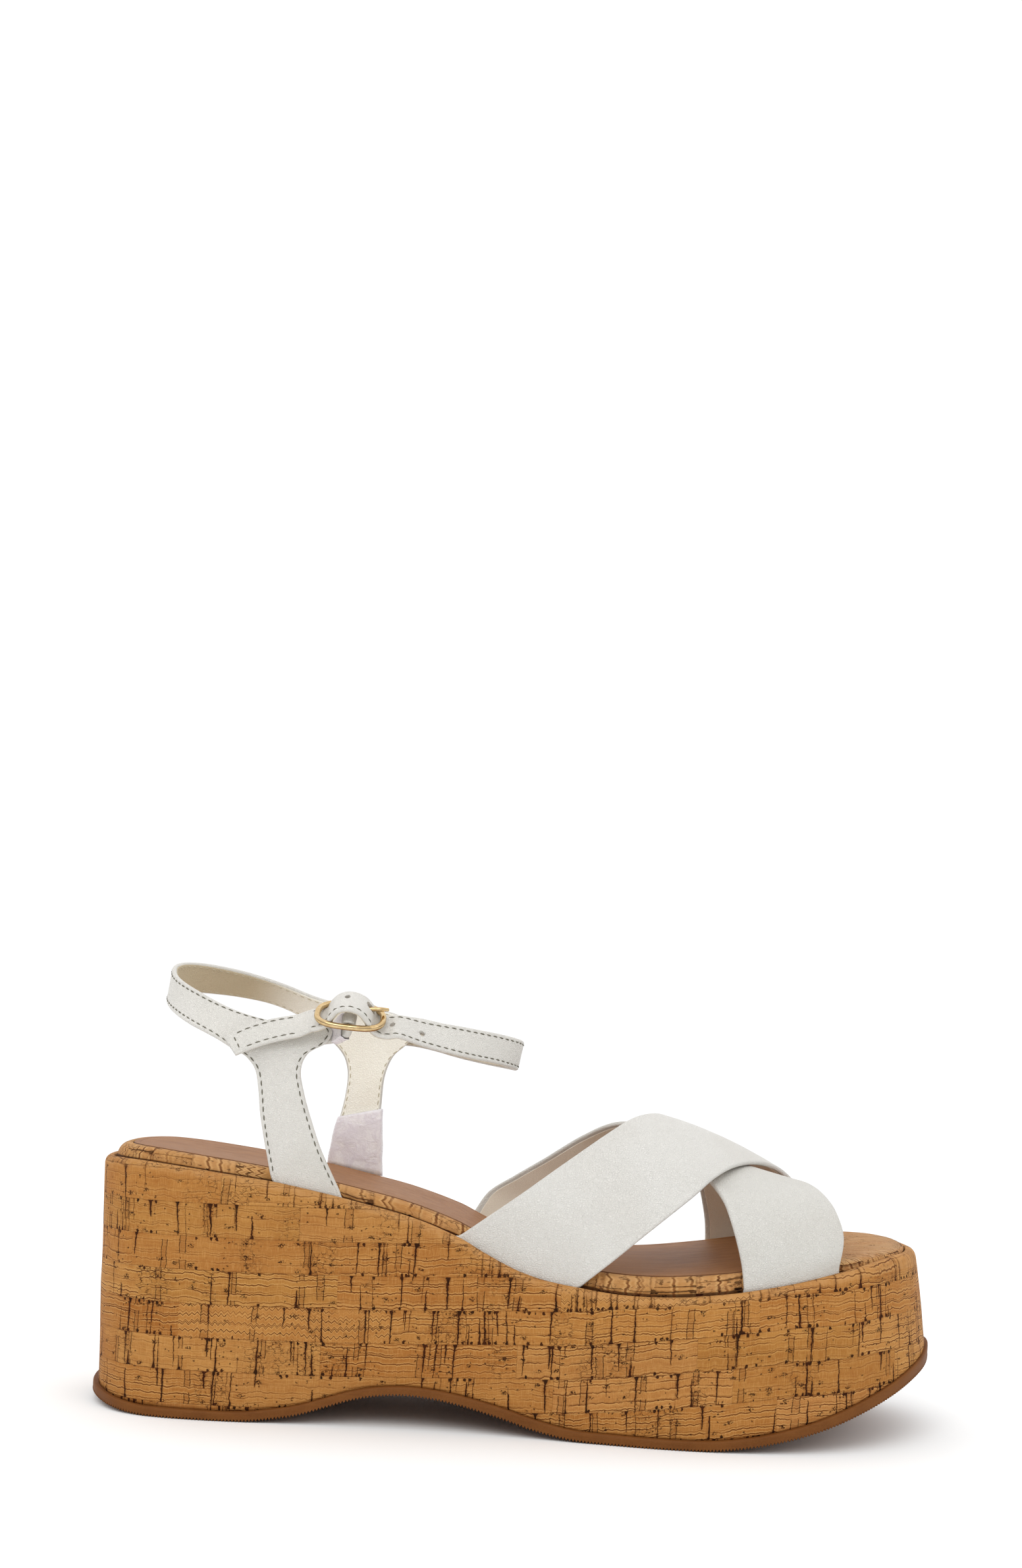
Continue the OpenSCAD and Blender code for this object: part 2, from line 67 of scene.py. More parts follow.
OV = [[[118.5,-32.8,62],[153.2,-39,50.5],0.3,[0,-1,0]],
 [[128.5,-32.4,69.5],[160.6,-38.4,57],0.4,[0,-1,0.3]],
 [[137.5,-29.5,76.3],[168.5,-36,63.5],0.6,[0,-1,0.6]],
 [[147,-24.5,83],[177,-31,70],0.9,[0,-0.8,0.8]],
 [[155,-16.5,88],[184,-24.5,75.4],1.1,[0,-0.5,1]],
 [[160.5,-8.5,90.6],[191.5,-15,78.2],1.3,[0.3,-0.2,1]],
 [[167,0,91.4],[200,-3,78.2],1.4,[0.3,0,1]],
 [[172.5,9.5,89.3],[207,7.5,75.8],1.4,[0.3,0.2,1]],
 [[178,19,83.5],[213,17,71.5],1.2,[0.2,0.5,1]],
 [[182.8,28,75],[217.8,25.5,66],1,[0,1,0.8]],
 [[186,35,65],[221.3,33,60],0.9,[0,1,0.4]],
 [[188.3,39.5,55],[223.6,38.3,57.5],1.2,[0,1,0]]]
UN = [[[189.8,-41,51.5],[219,-37.2,56.5],1,[0,-1,0]],
 [[188.5,-39.6,57.5],[219.4,-35,61],0.8,[0,-1,0.2]],
 [[187,-35.8,63.5],[218.6,-31,65.3],0.8,[0,-1,0.5]],
 [[185.2,-30,69],[217.2,-25.5,69],0.9,[0,-0.8,0.8]],
 [[182.5,-21.5,73],[214.6,-17,72.2],1,[0,-0.5,1]],
 [[178,-12,78.2],[211,-8.5,73.6],1,[0,-0.2,1]],
 [[172,-2.5,83.8],[206,0,73.1],0.8,[0.2,0,1]],
 [[165.5,6.5,87.6],[199.5,8.5,73.2],0.7,[0.2,0.2,1]],
 [[156,15.5,87.4],[190,17,72],0.8,[0,0.4,1]],
 [[146.5,24.3,82.2],[178.5,25,68.7],0.9,[0,0.8,0.8]],
 [[135,29.8,74],[166.5,31.6,63],0.7,[0,1,0.5]],
 [[126,31.5,68],[156,34.6,55.8],0.5,[0,1,0.2]],
 [[117.8,31,62.4],[149.2,35.6,49.9],0.3,[0,1,0]]]
QU = [[[53.8,-30.2,74.5],[72.6,-30.4,70.8]], [[52.5,-31.4,81],[69.2,-31.8,78]],
 [[51.3,-32.4,88],[66.3,-32.8,86]], [[50.7,-33,94],[63.8,-33.4,94]],
 [[49.6,-33.3,100],[62.6,-33.6,100.6]], [[47.2,-33.5,103.4],[64.4,-33.8,105.4]],
 [[44.8,-33.6,105],[69.4,-34,108.8]], [[42.4,-33.3,106.3],[70.6,-32.8,113]],
 [[39.5,-32.6,108],[62,-31.4,114.2]], [[35.5,-31.2,110.2],[52,-29.2,114.8]],
 [[29.5,-27.6,112.8],[41,-26,117.6]], [[24,-21,115],[30,-20.6,122.3]],
 [[20,-12.6,117.2],[22.4,-12,126]], [[18.4,-4,119.2],[19.2,-2.4,128.8]],
 [[18.8,5.6,120.6],[19.6,5.6,130.4]], [[21.4,14,121.6],[23.2,12.4,131]],
 [[27.2,21.5,121.8],[29.6,18,130.6]], [[36,27,121.2],[39,23,128.9]],
 [[46,30,119.4],[49.5,26.4,126]], [[55,32,115.8],[61,28.8,122]],
 [[61,32.6,111.4],[73,30.4,119.4]], [[65.5,32.8,107.8],[85,31.2,118]],
 [[68.8,32.8,104.2],[92.5,32,113]], [[70.3,32.6,100.8],[89.6,32.4,108.4]],
 [[70.9,32.2,96.6],[85.3,32.4,104]], [[70.5,31.4,91],[82.9,31.6,97.6]],
 [[69.4,30.4,85],[82.3,30.4,89]], [[68,29,79],[82.3,28.6,79.6]]]
FS = [[[80.5,35.3,107.8],[79,33.5,117]], [[86,35.5,107.8],[85.6,33.9,117.2]], [[92.5,35.1,107.4],[92.8,33.9,116.8]],
 [[99,30,106.4],[99.8,28.4,115.7]], [[107,23.6,104.6],[108.4,22.6,114]], [[115.6,15,103.2],[117,14.6,112.5]],
 [[121.8,7.6,102.4],[123.2,8,111.5]], [[124.7,-0.5,102.2],[126.4,-0.5,111]],
 [[123.8,-9.2,103],[125,-9.2,112]], [[118.2,-18.2,104.7],[118.6,-16.8,113.5]],
 [[108.4,-27.2,106.6],[108.2,-24.6,115.2]], [[98,-34.2,109.2],[98,-30,116.6]]]
FB = [[14.5,-4.3,-1.7,4.7,-1.7],[11,-4.5,-2.2,4.6,-2.2],[8.7,-4.5,-1.9,4.4,-2.1],[7.1,-4.4,-0.5,4.3,-0.7],
 [5.9,-4.4,2.2,4.4,1.7],[4.0,-4.4,5.2,4.4,4.1],[1.4,-4.4,6.7,4.4,5.4],[-1.4,-4.4,6.7,4.4,5.5],[-4.0,-4.4,5.2,4.4,4.1],
 [-5.8,-4.4,2.2,4.4,1.7],[-6.9,-4.4,-0.4,4.4,-0.7],[-8.8,-4.5,-2,4.6,-2],[-10.7,-4.3,-3.2,4.8,-3.2]]
TL = [[[62,-38.2,110.7],[60.6,-32.9,116.8]], [[57.4,-37.9,109.5],[55,-33.2,115.6]],
 [[52.6,-37.9,108],[49.6,-34,114]], [[48.2,-38.1,106.2],[44.8,-34.8,112]], [[44.4,-38.3,104.4],[40.6,-35.9,109.2]]]
TB = [[[63,-30.9,107.6],[62,-28.5,112.6]], [[67,-31.1,108.4],[66.6,-29.2,113.2]],
 [[71.2,-32.4,109.2],[71,-30.6,114.4]], [[73.8,-37,110.8],[73.4,-32.2,117]]]


def unit(v):
    v = np.asarray(v, float)
    return v / np.maximum(np.linalg.norm(v, axis=-1, keepdims=True), 1e-12)


BC = np.array([76.4, -38.2, 116.9])
BU = unit([1, 0, -0.07])
_t = np.array([-0.04, 0.72, 0.69])
BV = unit(_t - BU * (_t @ BU))
BN = np.cross(BU, BV)
HP = BC - 12.3 * BU + 0.4 * BV - 5.1 * BN
HA = unit([-1.2, 5.8, 5.9])
HN = unit(BN - HA * (BN @ HA))


def bk(u, v, n):
    return BC + BU * u + BV * v + BN * n


def smooth(t):
    t = np.clip(t, 0, 1)
    return t * t * (3 - 2 * t)


def tab(T, x):
    T = np.array(T, float)
    X, Y, n = T[:, 0], T[:, 1], len(T)
    a = np.maximum(np.arange(n) - 1, 0)
    b = np.minimum(np.arange(n) + 1, n - 1)
    g = (Y[b] - Y[a]) / (X[b] - X[a])
    x = np.asarray(x, float)
    i = np.clip(np.searchsorted(X, x, side="right") - 1, 0, n - 2)
    h = X[i + 1] - X[i]
    t = np.clip((x - X[i]) / h, 0, 1)
    q = t * t
    c = q * t
    return (2*c-3*q+1)*Y[i] + (c-2*q+t)*h*g[i] + (3*q-2*c)*Y[i+1] + (c-q)*h*g[i+1]


def cr(P, m, loop=False):
    """Catmull-Rom through the rows of P, m steps a span."""
    P = np.asarray(P, float)
    n = len(P)
    if loop:
        Q = np.concatenate([P[-1:], P, P[:2]])
        spans = n
    else:
        Q = np.concatenate([2 * P[:1] - P[1:2], P, 2 * P[-1:] - P[-2:-1]])
        spans = n - 1
    t = (np.arange(m) / m).reshape((1, m) + (1,) * (P.ndim - 1))
    a, b, c, d = (Q[k:k + spans][:, None] for k in range(4))
    R = 0.5 * (2*b + (c-a)*t + (2*a-5*b+4*c-d)*t**2 + (3*b-a-3*c+d)*t**3)
    R = R.reshape((spans * m,) + P.shape[1:])
    return R if loop else np.concatenate([R, P[-1:]])


LAT = [OUT[i] for i in range(1, 17)]
MED = [OUT[i] for i in range(35, 19, -1)]
zb = lambda x: tab(ZB, x)
zo = lambda x: tab(ZB, x) + 3.0 + tab(TO, x)
zr = lambda x: tab(ZR, x)
zt = lambda x: tab(ZR, x) + tab(RH, x)
rise = lambda x: tab(RISE, x)
toe = lambda x: smooth((np.asarray(x) - 205) / 45)
heel = lambda x: smooth((24 - np.asarray(x)) / 22)
ET = 3.2              # extra inset of the upper rings at the toe
KT = 28.0             # how far the sock's toe end is drawn back


def hash3(i, j, k, seed):
    h = (i * 374761393 + j * 668265263 + k * 2147483647 % 1013904223 + seed * 69069) & 0xFFFFFFFF
    h = ((h ^ (h >> 13)) * 1274126177) & 0xFFFFFFFF
    h = ((h ^ (h >> 16)) * 2246822519) & 0xFFFFFFFF
    return ((h ^ (h >> 15)) & 0xFFFFFF) / float(0xFFFFFF)


def vnoise(P, size, seed=1):
    """Smooth value noise in -1..1; size is the feature size in mm."""
    Q = np.asarray(P, float) / size + 1000.0
    I = np.floor(Q).astype(np.int64)
    F = Q - I
    F = F * F * (3 - 2 * F)
    r = 0
    for a in (0, 1):
        for b in (0, 1):
            for c in (0, 1):
                w = (F[..., 0] if a else 1 - F[..., 0]) * (F[..., 1] if b else 1 - F[..., 1]) * (F[..., 2] if c else 1 - F[..., 2])
                r = r + w * hash3(I[..., 0] + a, I[..., 1] + b, I[..., 2] + c, seed)
    return r * 2 - 1


# ------------------------------------------------------------------ mesh building
def make(name, V, F, mats, uv=None, mi=None, body="shoe", slot=None, rep=(), flat=False, closed=True):
    """F is a list of faces; uv, if given, is a list of per-corner pairs in the order of F."""
    V = np.asarray(V, float)
    F = [list(map(int, f)) for f in F]
    if closed:
        vol = 0.0
        o = V.mean(0)
        quads = [f for f in F if len(f) == 4]
        tris = [f for f in F if len(f) == 3]
        big = [f for f in F if len(f) > 4]
        if quads:
            q = V[np.array(quads)] - o
            vol += np.einsum("ij,ij->i", q[:, 0], np.cross(q[:, 1], q[:, 2]) ).sum() + np.einsum("ij,ij->i", q[:, 0], np.cross(q[:, 2], q[:, 3])).sum()
        if tris:
            q = V[np.array(tris)] - o
            vol += np.einsum("ij,ij->i", q[:, 0], np.cross(q[:, 1], q[:, 2])).sum()
        for f in big:
            q = V[f] - o
            for k in range(1, len(f) - 1):
                vol += q[0] @ np.cross(q[k], q[k + 1])
        if vol < 0:
            F = [f[::-1] for f in F]
            if uv is not None:
                uv = [u[::-1] for u in uv]
    me = bpy.data.meshes.new(name)
    me.from_pydata(((V + SH) / 1000).tolist(), [], F)
    if uv is not None:
        lay = me.uv_layers.new(name="UVMap")
        lay.data.foreach_set("uv", np.concatenate([np.asarray(u, np.float32).ravel() for u in uv]))
    for m in (mats if isinstance(mats, (list, tuple)) else [mats]):
        me.materials.append(m)
    if mi is not None:
        me.polygons.foreach_set("material_index", np.asarray(mi, np.int32))
    me.polygons.foreach_set("use_smooth", np.full(len(F), not flat))
    me.update()
    ob = bpy.data.objects.new(name, me)
    sc.collection.objects.link(ob)
    if body:
        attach(ob, body)
    if rep:
        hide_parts(*rep)
    return ob


def gridf(nu, nv, cu=False, cv=False, base=0):
    """Quads of a grid; returns faces (N,4) and the (i,j) corners for uv."""
    i = np.arange(nu if cu else nu - 1)
    j = np.arange(nv if cv else nv - 1)
    I, J = np.meshgrid(i, j, indexing="ij")
    I, J = I.ravel(), J.ravel()
    ci = np.stack([I, I + 1, I + 1, I], 1)
    cj = np.stack([J, J, J + 1, J + 1], 1)
    F = base + (ci % nu) * nv + (cj % nv)
    return F, ci, cj


def attr(ob, name, values):
    a = ob.data.attributes.new(name, "FLOAT", "POINT")
    a.data.foreach_set("value", np.asarray(values, np.float32))


def normals(G, loop=False):
    if loop:
        di = np.roll(G, -1, 0) - np.roll(G, 1, 0)
    else:
        di = np.empty_like(G)
        di[1:-1] = G[2:] - G[:-2]; di[0] = G[1] - G[0]; di[-1] = G[-1] - G[-2]
    dj = np.empty_like(G)
    dj[:, 1:-1] = G[:, 2:] - G[:, :-2]; dj[:, 0] = G[:, 1] - G[:, 0]; dj[:, -1] = G[:, -1] - G[:, -2]
    return unit(np.cross(dj, di))


def plan(m, start=0.0, arc=0):
    """Closed plan outline, tangents' inward normals and arc length. arc gives even steps along it."""
    P = cr(np.array(OUT, float), m, loop=True)
    if start:
        k = int(round(start * m)); P = np.roll(P, -k, 0)
    if arc:
        Q = np.concatenate([P, P[:1]])
        s = np.r_[0, np.cumsum(np.linalg.norm(np.diff(Q, axis=0), axis=1))]
        t = np.arange(arc) / arc * s[-1]
        P = np.stack([np.interp(t, s, Q[:, 0]), np.interp(t, s, Q[:, 1])], 1)
    T = unit(np.roll(P, -1, 0) - np.roll(P, 1, 0))
    if not arc:
        T = unit(np.roll(P, -2, 0) + np.roll(P, -1, 0) - np.roll(P, 1, 0) - np.roll(P, 2, 0))
    N = np.stack([-T[:, 1], T[:, 0]], 1)
    s = np.r_[0, np.cumsum(np.linalg.norm(np.diff(np.concatenate([P, P[:1]]), axis=0), axis=1))]
    return P, N, s


def ringpts(P, N, d, e, z, k=0.0):
    """Ring at inset d (plus e at the toe, drawn back by k); z is a function of x or an array."""
    Q = P + N * (np.asarray(d) + np.asarray(e) * toe(P[:, 0]))[:, None]
    Q[:, 0] -= k * toe(Q[:, 0])
    Z = z(Q[:, 0]) if callable(z) else z
    return np.column_stack([Q, Z])


# ------------------------------------------------------------------ material helper
class Mat:
    def __init__(s, name):
        s.m = bpy.data.materials.new(name)
        s.m.use_nodes = True
        s.t = s.m.node_tree
        s.t.nodes.clear()
        s.out = s.t.nodes.new("ShaderNodeOutputMaterial")
        s.b = s.t.nodes.new("ShaderNodeBsdfPrincipled")
        s.t.links.new(s.b.outputs[0], s.out.inputs[0])

    def put(s, sock, v):
        if v is None:
            return
        if isinstance(v, bpy.types.NodeSocket):
            s.t.links.new(v, sock)
        else:
            if isinstance(v, (tuple, list)) and len(v) == 3 and len(sock.default_value) == 4:
                v = (*v, 1)
            sock.default_value = v

    def nd(s, kind, ins=None, **props):
        n = s.t.nodes.new(kind)
        for k, v in props.items():
            setattr(n, k, v)
        for k, v in (ins or {}).items():
            s.put(n.inputs[k], v)
        return n

    def ma(s, op, a, b=None, c=None, clamp=False):
        n = s.nd("ShaderNodeMath", {0: a, 1: b, 2: c}, operation=op)
        n.use_clamp = clamp
        return n.outputs[0]

    def add(s, a, b): return s.ma("ADD", a, b)
    def sub(s, a, b): return s.ma("SUBTRACT", a, b)
    def mul(s, a, b): return s.ma("MULTIPLY", a, b)
    def mad(s, a, b, c): return s.ma("MULTIPLY_ADD", a, b, c)
    def mn(s, a, b): return s.ma("MINIMUM", a, b)
    def mx(s, a, b): return s.ma("MAXIMUM", a, b)

    def ss(s, v, a, b, lo=0.0, hi=1.0, kind="SMOOTHSTEP"):
        return s.nd("ShaderNodeMapRange", {0: v, 1: a, 2: b, 3: lo, 4: hi}, interpolation_type=kind).outputs[0]

    def noise(s, vec=None, scale=1.0, detail=2.0, rough=0.5, w=None, dim="3D", dist=0.0):
        n = s.nd("ShaderNodeTexNoise", noise_dimensions=dim)
        if vec is not None: s.put(n.inputs["Vector"], vec)
        if w is not None: s.put(n.inputs["W"], w)
        s.put(n.inputs["Scale"], scale); s.put(n.inputs["Detail"], detail); s.put(n.inputs["Roughness"], rough); s.put(n.inputs["Distortion"], dist)
        return n.outputs[0]

    def vor(s, vec=None, scale=1.0, w=None, dim="3D", feature="F1", rand=1.0):
        n = s.nd("ShaderNodeTexVoronoi", voronoi_dimensions=dim, feature=feature)
        if vec is not None: s.put(n.inputs["Vector"], vec)
        if w is not None: s.put(n.inputs["W"], w)
        s.put(n.inputs["Scale"], scale); s.put(n.inputs["Randomness"], rand)
        return n

    def comb(s, x, y, z=0.0): return s.nd("ShaderNodeCombineXYZ", {0: x, 1: y, 2: z}).outputs[0]

    def sep(s, v):
        n = s.nd("ShaderNodeSeparateXYZ", {0: v}); return n.outputs[0], n.outputs[1], n.outputs[2]

    def rgb(s, v):
        n = s.nd("ShaderNodeSeparateColor", {0: v}); return n.outputs[0], n.outputs[1], n.outputs[2]

    def mix(s, f, a, b, kind="MIX"):
        n = s.nd("ShaderNodeMix", data_type="RGBA", blend_type=kind)
        s.put(n.inputs[0], f); s.put(n.inputs[6], a); s.put(n.inputs[7], b)
        return n.outputs[2]

    def ramp(s, f, stops, interp="LINEAR"):
        n = s.nd("ShaderNodeValToRGB", {0: f})
        r = n.color_ramp; r.interpolation = interp
        while len(r.elements) < len(stops): r.elements.new(0.5)
        for e, (p, c) in zip(r.elements, stops):
            e.position = p; e.color = (*c, 1)
        return n.outputs[0]

    def bump(s, h, dist, strength=1.0, normal=None):
        n = s.nd("ShaderNodeBump", {"Strength": strength, "Distance": dist, "Height": h})
        if normal is not None: s.put(n.inputs["Normal"], normal)
        return n.outputs[0]

    def set(s, **kw):
        names = dict(color="Base Color", metal="Metallic", rough="Roughness", ior="IOR", normal="Normal", spec="Specular IOR Level", coat="Coat Weight", coat_rough="Coat Roughness", sheen="Sheen Weight", sss="Subsurface Weight", sss_scale="Subsurface Scale", sss_radius="Subsurface Radius", alpha="Alpha", trans="Transmission Weight")
        for k, v in kw.items():
            s.put(s.b.inputs[names[k]], v)
        return s.m


def lin(r, g, b):
    return tuple(c / 12.92 if c <= 0.04045 else ((c + 0.055) / 1.055) ** 2.4 for c in (r / 255, g / 255, b / 255))


def obj_mm(M):
    """Object coordinates in millimetres."""
    tc = M.nd("ShaderNodeTexCoord").outputs["Object"]
    return M.nd("ShaderNodeVectorMath", {0: tc, 1: (1000, 1000, 1000)}, operation="MULTIPLY").outputs[0]


def cork_material(name, pitch=9.56, z0=4.25, block=52.0, gain=(0.75, 0.625, 0.41), seed=0.0, dense=0.5, rim_attr=True):
    """Natural cork veneer in staggered strips. UV is in millimetres: U along the strips, V across them."""
    M = Mat(name)
    uv = M.nd("ShaderNodeUVMap", uv_map="UVMap").outputs[0]
    s0, r0, _ = M.sep(uv)
    s0 = M.add(s0, seed * 173.0)
    vec = M.comb(s0, r0, seed)
    wob = M.noise(vec, 0.42, 2, 0.6)
    wob2 = M.noise(M.comb(s0, r0, seed + 9), 1.7, 2, 0.6)
    low = M.noise(M.comb(M.mul(s0, 0.05), M.mul(r0, 0.09), seed + 3), 1.0, 1, 0.5)
    r1 = M.add(r0, M.add(M.mul(M.sub(wob, 0.5), 0.34), M.mul(M.sub(wob2, 0.5), 0.16)))
    R = M.mul(M.sub(r1, z0), 1.0 / pitch)
    row = M.ma("FLOOR", R)
    f = M.sub(R, row)
    # blocks along each strip
    bs = M.add(s0, M.mul(M.sub(wob, 0.5), 0.5))
    W = M.add(M.mul(bs, 1.0 / block), M.mul(row, 7.31))
    vb = M.vor(w=W, dim="1D")
    br, bg, bb = M.rgb(vb.outputs["Color"])
    edge = M.mul(M.vor(w=W, dim="1D", feature="DISTANCE_TO_EDGE").outputs["Distance"], block)
    key = M.add(M.mul(bg, 61.0), M.mul(row, 3.17))
    # slant of the fissures and a wavy course
    slant = M.mul(M.sub(M.noise(M.comb(M.mul(s0, 0.045), M.mul(row, 5.3), seed), 1.0, 0), 0.5), 2.6)
    s1 = M.add(s0, M.add(M.mul(M.sub(f, 0.5), slant), M.add(M.mul(M.sub(wob, 0.5), 0.95), M.mul(M.sub(wob2, 0.5), 0.42))))
    # where fissures crowd together
    dens = M.noise(M.comb(M.mul(s0, 0.062), M.mul(row, 3.9), seed + 5), 1.0, 2, 0.6)

    def fissures(period, w, lo, hi, off, strength, minlen=0.3, blob=1.7):
        Wf = M.add(M.mul(s1, 1.0 / period), M.add(M.mul(row, 13.7 + off), off))
        v = M.vor(w=Wf, dim="1D")
        d = M.mul(v.outputs["Distance"], period)
        a, b, c = M.rgb(v.outputs["Color"])
        there = M.ma("LESS_THAN", c, M.ss(dens, lo, hi, 0.02, 0.95))
        top = M.ma("GREATER_THAN", a, 0.42)
        t0 = M.add(M.mul(top, M.sub(1.0, M.mul(f, 1.0))), M.mul(M.sub(1.0, top), f))
        ln = M.ss(b, 0.0, 0.75, minlen, 1.05, "LINEAR")
        t = M.ma("DIVIDE", t0, ln)
        inside = M.ma("LESS_THAN", t, 1.0)
        wid = M.mul(M.sub(1.0, M.mul(M.mul(t, t), 0.62)), M.mul(M.add(0.55, M.mul(M.ma("FRACT", M.mul(a, 7.7)), 0.9)), w))
        wid = M.mul(wid, M.add(1.0, M.ss(t, 0.0, 0.16, blob - 1.0, 0.0)))
        wid = M.mul(wid, M.add(0.5, M.noise(vec, 1.35, 2, 0.7)))
        on = M.mul(M.mul(there, inside), strength)
        q = M.ma("DIVIDE", d, M.mx(wid, 0.01))
        core = M.mul(M.ss(q, 0.55, 1.05, 1.0, 0.0), on)
        halo = M.mul(M.ss(q, 0.8, 3.4, 1.0, 0.0), on)
        return core, halo

    c1, h1 = fissures(3.4, 0.19, 0.44, 0.76, 0.0, 1.0, 0.25, 2.3)
    c2, h2 = fissures(1.6, 0.11, 0.5, 0.78, 3.3, 0.8, 0.15, 1.8)
    c3, h3 = fissures(9.0, 0.25, 0.25, 0.6, 8.1, 1.0, 0.4, 2.8)
    # dark knots where fissures meet the strip edges
    vk = M.vor(w=M.add(M.mul(s1, 1.0 / 1.9), M.mul(row, 9.7)), dim="1D")
    ka, kb, kc = M.rgb(vk.outputs["Color"])
    kf = M.mul(M.mn(f, M.sub(1.0, f)), pitch)
    kd = M.nd("ShaderNodeVectorMath", {0: M.comb(M.mul(vk.outputs["Distance"], 1.9), M.mul(M.sub(kf, 0.45), 0.8), 0.0)}, operation="LENGTH").outputs["Value"]
    knot = M.mul(M.ss(M.add(kd, M.mul(M.sub(wob2, 0.5), 0.9)), 0.3, 0.5, 1.0, 0.0), M.ma("LESS_THAN", kc, M.ss(dens, 0.42, 0.75, 0.03, 0.75)))
    # paired thin cracks with a darker lens between
    v = M.vor(w=M.add(M.mul(s1, 1.0 / 13.0), M.mul(row, 21.3)), dim="1D")
    dd = M.mul(v.outputs["Distance"], 13.0)
    pa, pb, pc = M.rgb(v.outputs["Color"])
    phw = M.add(0.55, M.mul(pb, 0.6))
    pon = M.mul(M.ma("LESS_THAN", pc, 0.5), M.ma("GREATER_THAN", M.ma("ABSOLUTE", M.sub(f, pa)), 0.1))
    pline = M.mul(M.ss(M.ma("ABSOLUTE", M.sub(dd, phw)), 0.05, 0.15, 1.0, 0.0), pon)
    plens = M.mul(M.ss(M.sub(dd, phw), -0.1, 0.05, 1.0, 0.0), pon)
    # growth lines that run along the strip, each with a painted highlight beside it
    zig = M.ma("PINGPONG", M.add(s0, M.mul(M.sub(wob, 0.5), 0.6)), 0.85)
    zigm = M.ma("GREATER_THAN", M.ma("FRACT", M.mul(bg, 9.3)), 0.84)
    g = M.add(M.add(r0, M.mul(M.sub(M.noise(M.comb(M.mul(s0, 0.11), key, seed), 1.0, 1), 0.5), 2.6)),
              M.add(M.mul(M.sub(M.noise(M.comb(M.mul(s0, 0.7), M.mul(r0, 0.2), key), 1.0, 2), 0.5), 1.15), M.mul(M.mul(zig, zigm), 0.95)))
    vg = M.vor(w=M.add(M.mul(g, 0.66), key), dim="1D", feature="F1")
    ga, gb, gc = M.rgb(vg.outputs["Color"])
    gdist = M.mul(vg.outputs["Distance"], 1.5)
    gon = M.mul(M.mul(M.ss(ga, 0.0, 0.45, 0.25, 1.0), M.ss(bb, 0.1, 0.6, 0.4, 1.0)), M.ss(M.noise(M.comb(M.mul(s0, 0.16), M.mul(g, 0.8), key), 1.0, 2), 0.34, 0.52, 0.15, 1.0))
    gl = M.mul(M.ss(gdist, 0.06, 0.22, 1.0, 0.0), gon)
    # painted highlight: a light band beside each growth line, for a raised, embossed look
    growth_line_painted_highlight = M.mul(M.mul(M.ss(gdist, 0.15, 0.26), M.ss(gdist, 0.3, 0.6, 1.0, 0.0)), gon)
    gfine = M.noise(M.comb(M.mul(s0, 0.05), M.mul(g, 1.6), key), 1.0, 3, 0.7)
    # flaky crackle in patches, specks and dark pits
    dis = M.add(M.mul(wob2, 1.6), 0)
    vc = M.comb(M.add(M.mul(s0, 0.62), dis), M.add(M.mul(r0, 0.72), M.mul(wob, 1.5)), seed)
    crk = M.vor(vec=vc, scale=1.0, dim="2D", feature="DISTANCE_TO_EDGE").outputs["Distance"]
    crm = M.ss(M.noise(M.comb(M.mul(s0, 0.06), M.mul(row, 4.4), seed + 21), 1.0, 2, 0.5), 0.53, 0.62)
    crl = M.mul(M.mul(M.ss(crk, 0.015, 0.075, 1.0, 0.0), crm), M.ss(wob, 0.4, 0.6, 0.15, 1.0))
    vs = M.vor(vec=M.comb(M.add(M.mul(s0, 0.95), dis), M.mul(r0, 0.75), seed + 2), scale=1.0, dim="2D")
    sa, sb, s_c = M.rgb(vs.outputs["Color"])
    spk = M.mul(M.ss(vs.outputs["Distance"], 0.1, 0.26, 1.0, 0.0), M.ma("GREATER_THAN", sa, M.ss(dens, 0.35, 0.7, 0.985, 0.8)))
    vp = M.vor(vec=M.comb(M.add(M.mul(s0, 0.2), M.mul(wob2, 0.75)), M.add(M.mul(r0, 0.26), M.mul(wob, 0.5)), seed + 4), scale=1.0, dim="2D")
    qa, qb, qc = M.rgb(vp.outputs["Color"])
    pit = M.mul(M.ss(vp.outputs["Distance"], 0.09, 0.2, 1.0, 0.0), M.mul(M.ma("GREATER_THAN", qa, 0.72), M.ss(M.noise(vec, 2.1, 2, 0.7), 0.46, 0.55)))
    # strip seams and block seams
    sm = M.mul(M.mn(f, M.sub(1.0, f)), pitch)
    seam = M.mul(M.ss(sm, 0.05, 0.22, 1.0, 0.0), M.ss(M.noise(M.comb(M.mul(s0, 0.25), M.mul(row, 2.0), seed + 7), 1.0, 3, 0.7), 0.38, 0.66, 0.18, 0.9))
    bseam = M.mul(M.ss(edge, 0.03, 0.15, 1.0, 0.0), M.mul(M.ss(br, 0.3, 0.8), 0.42))
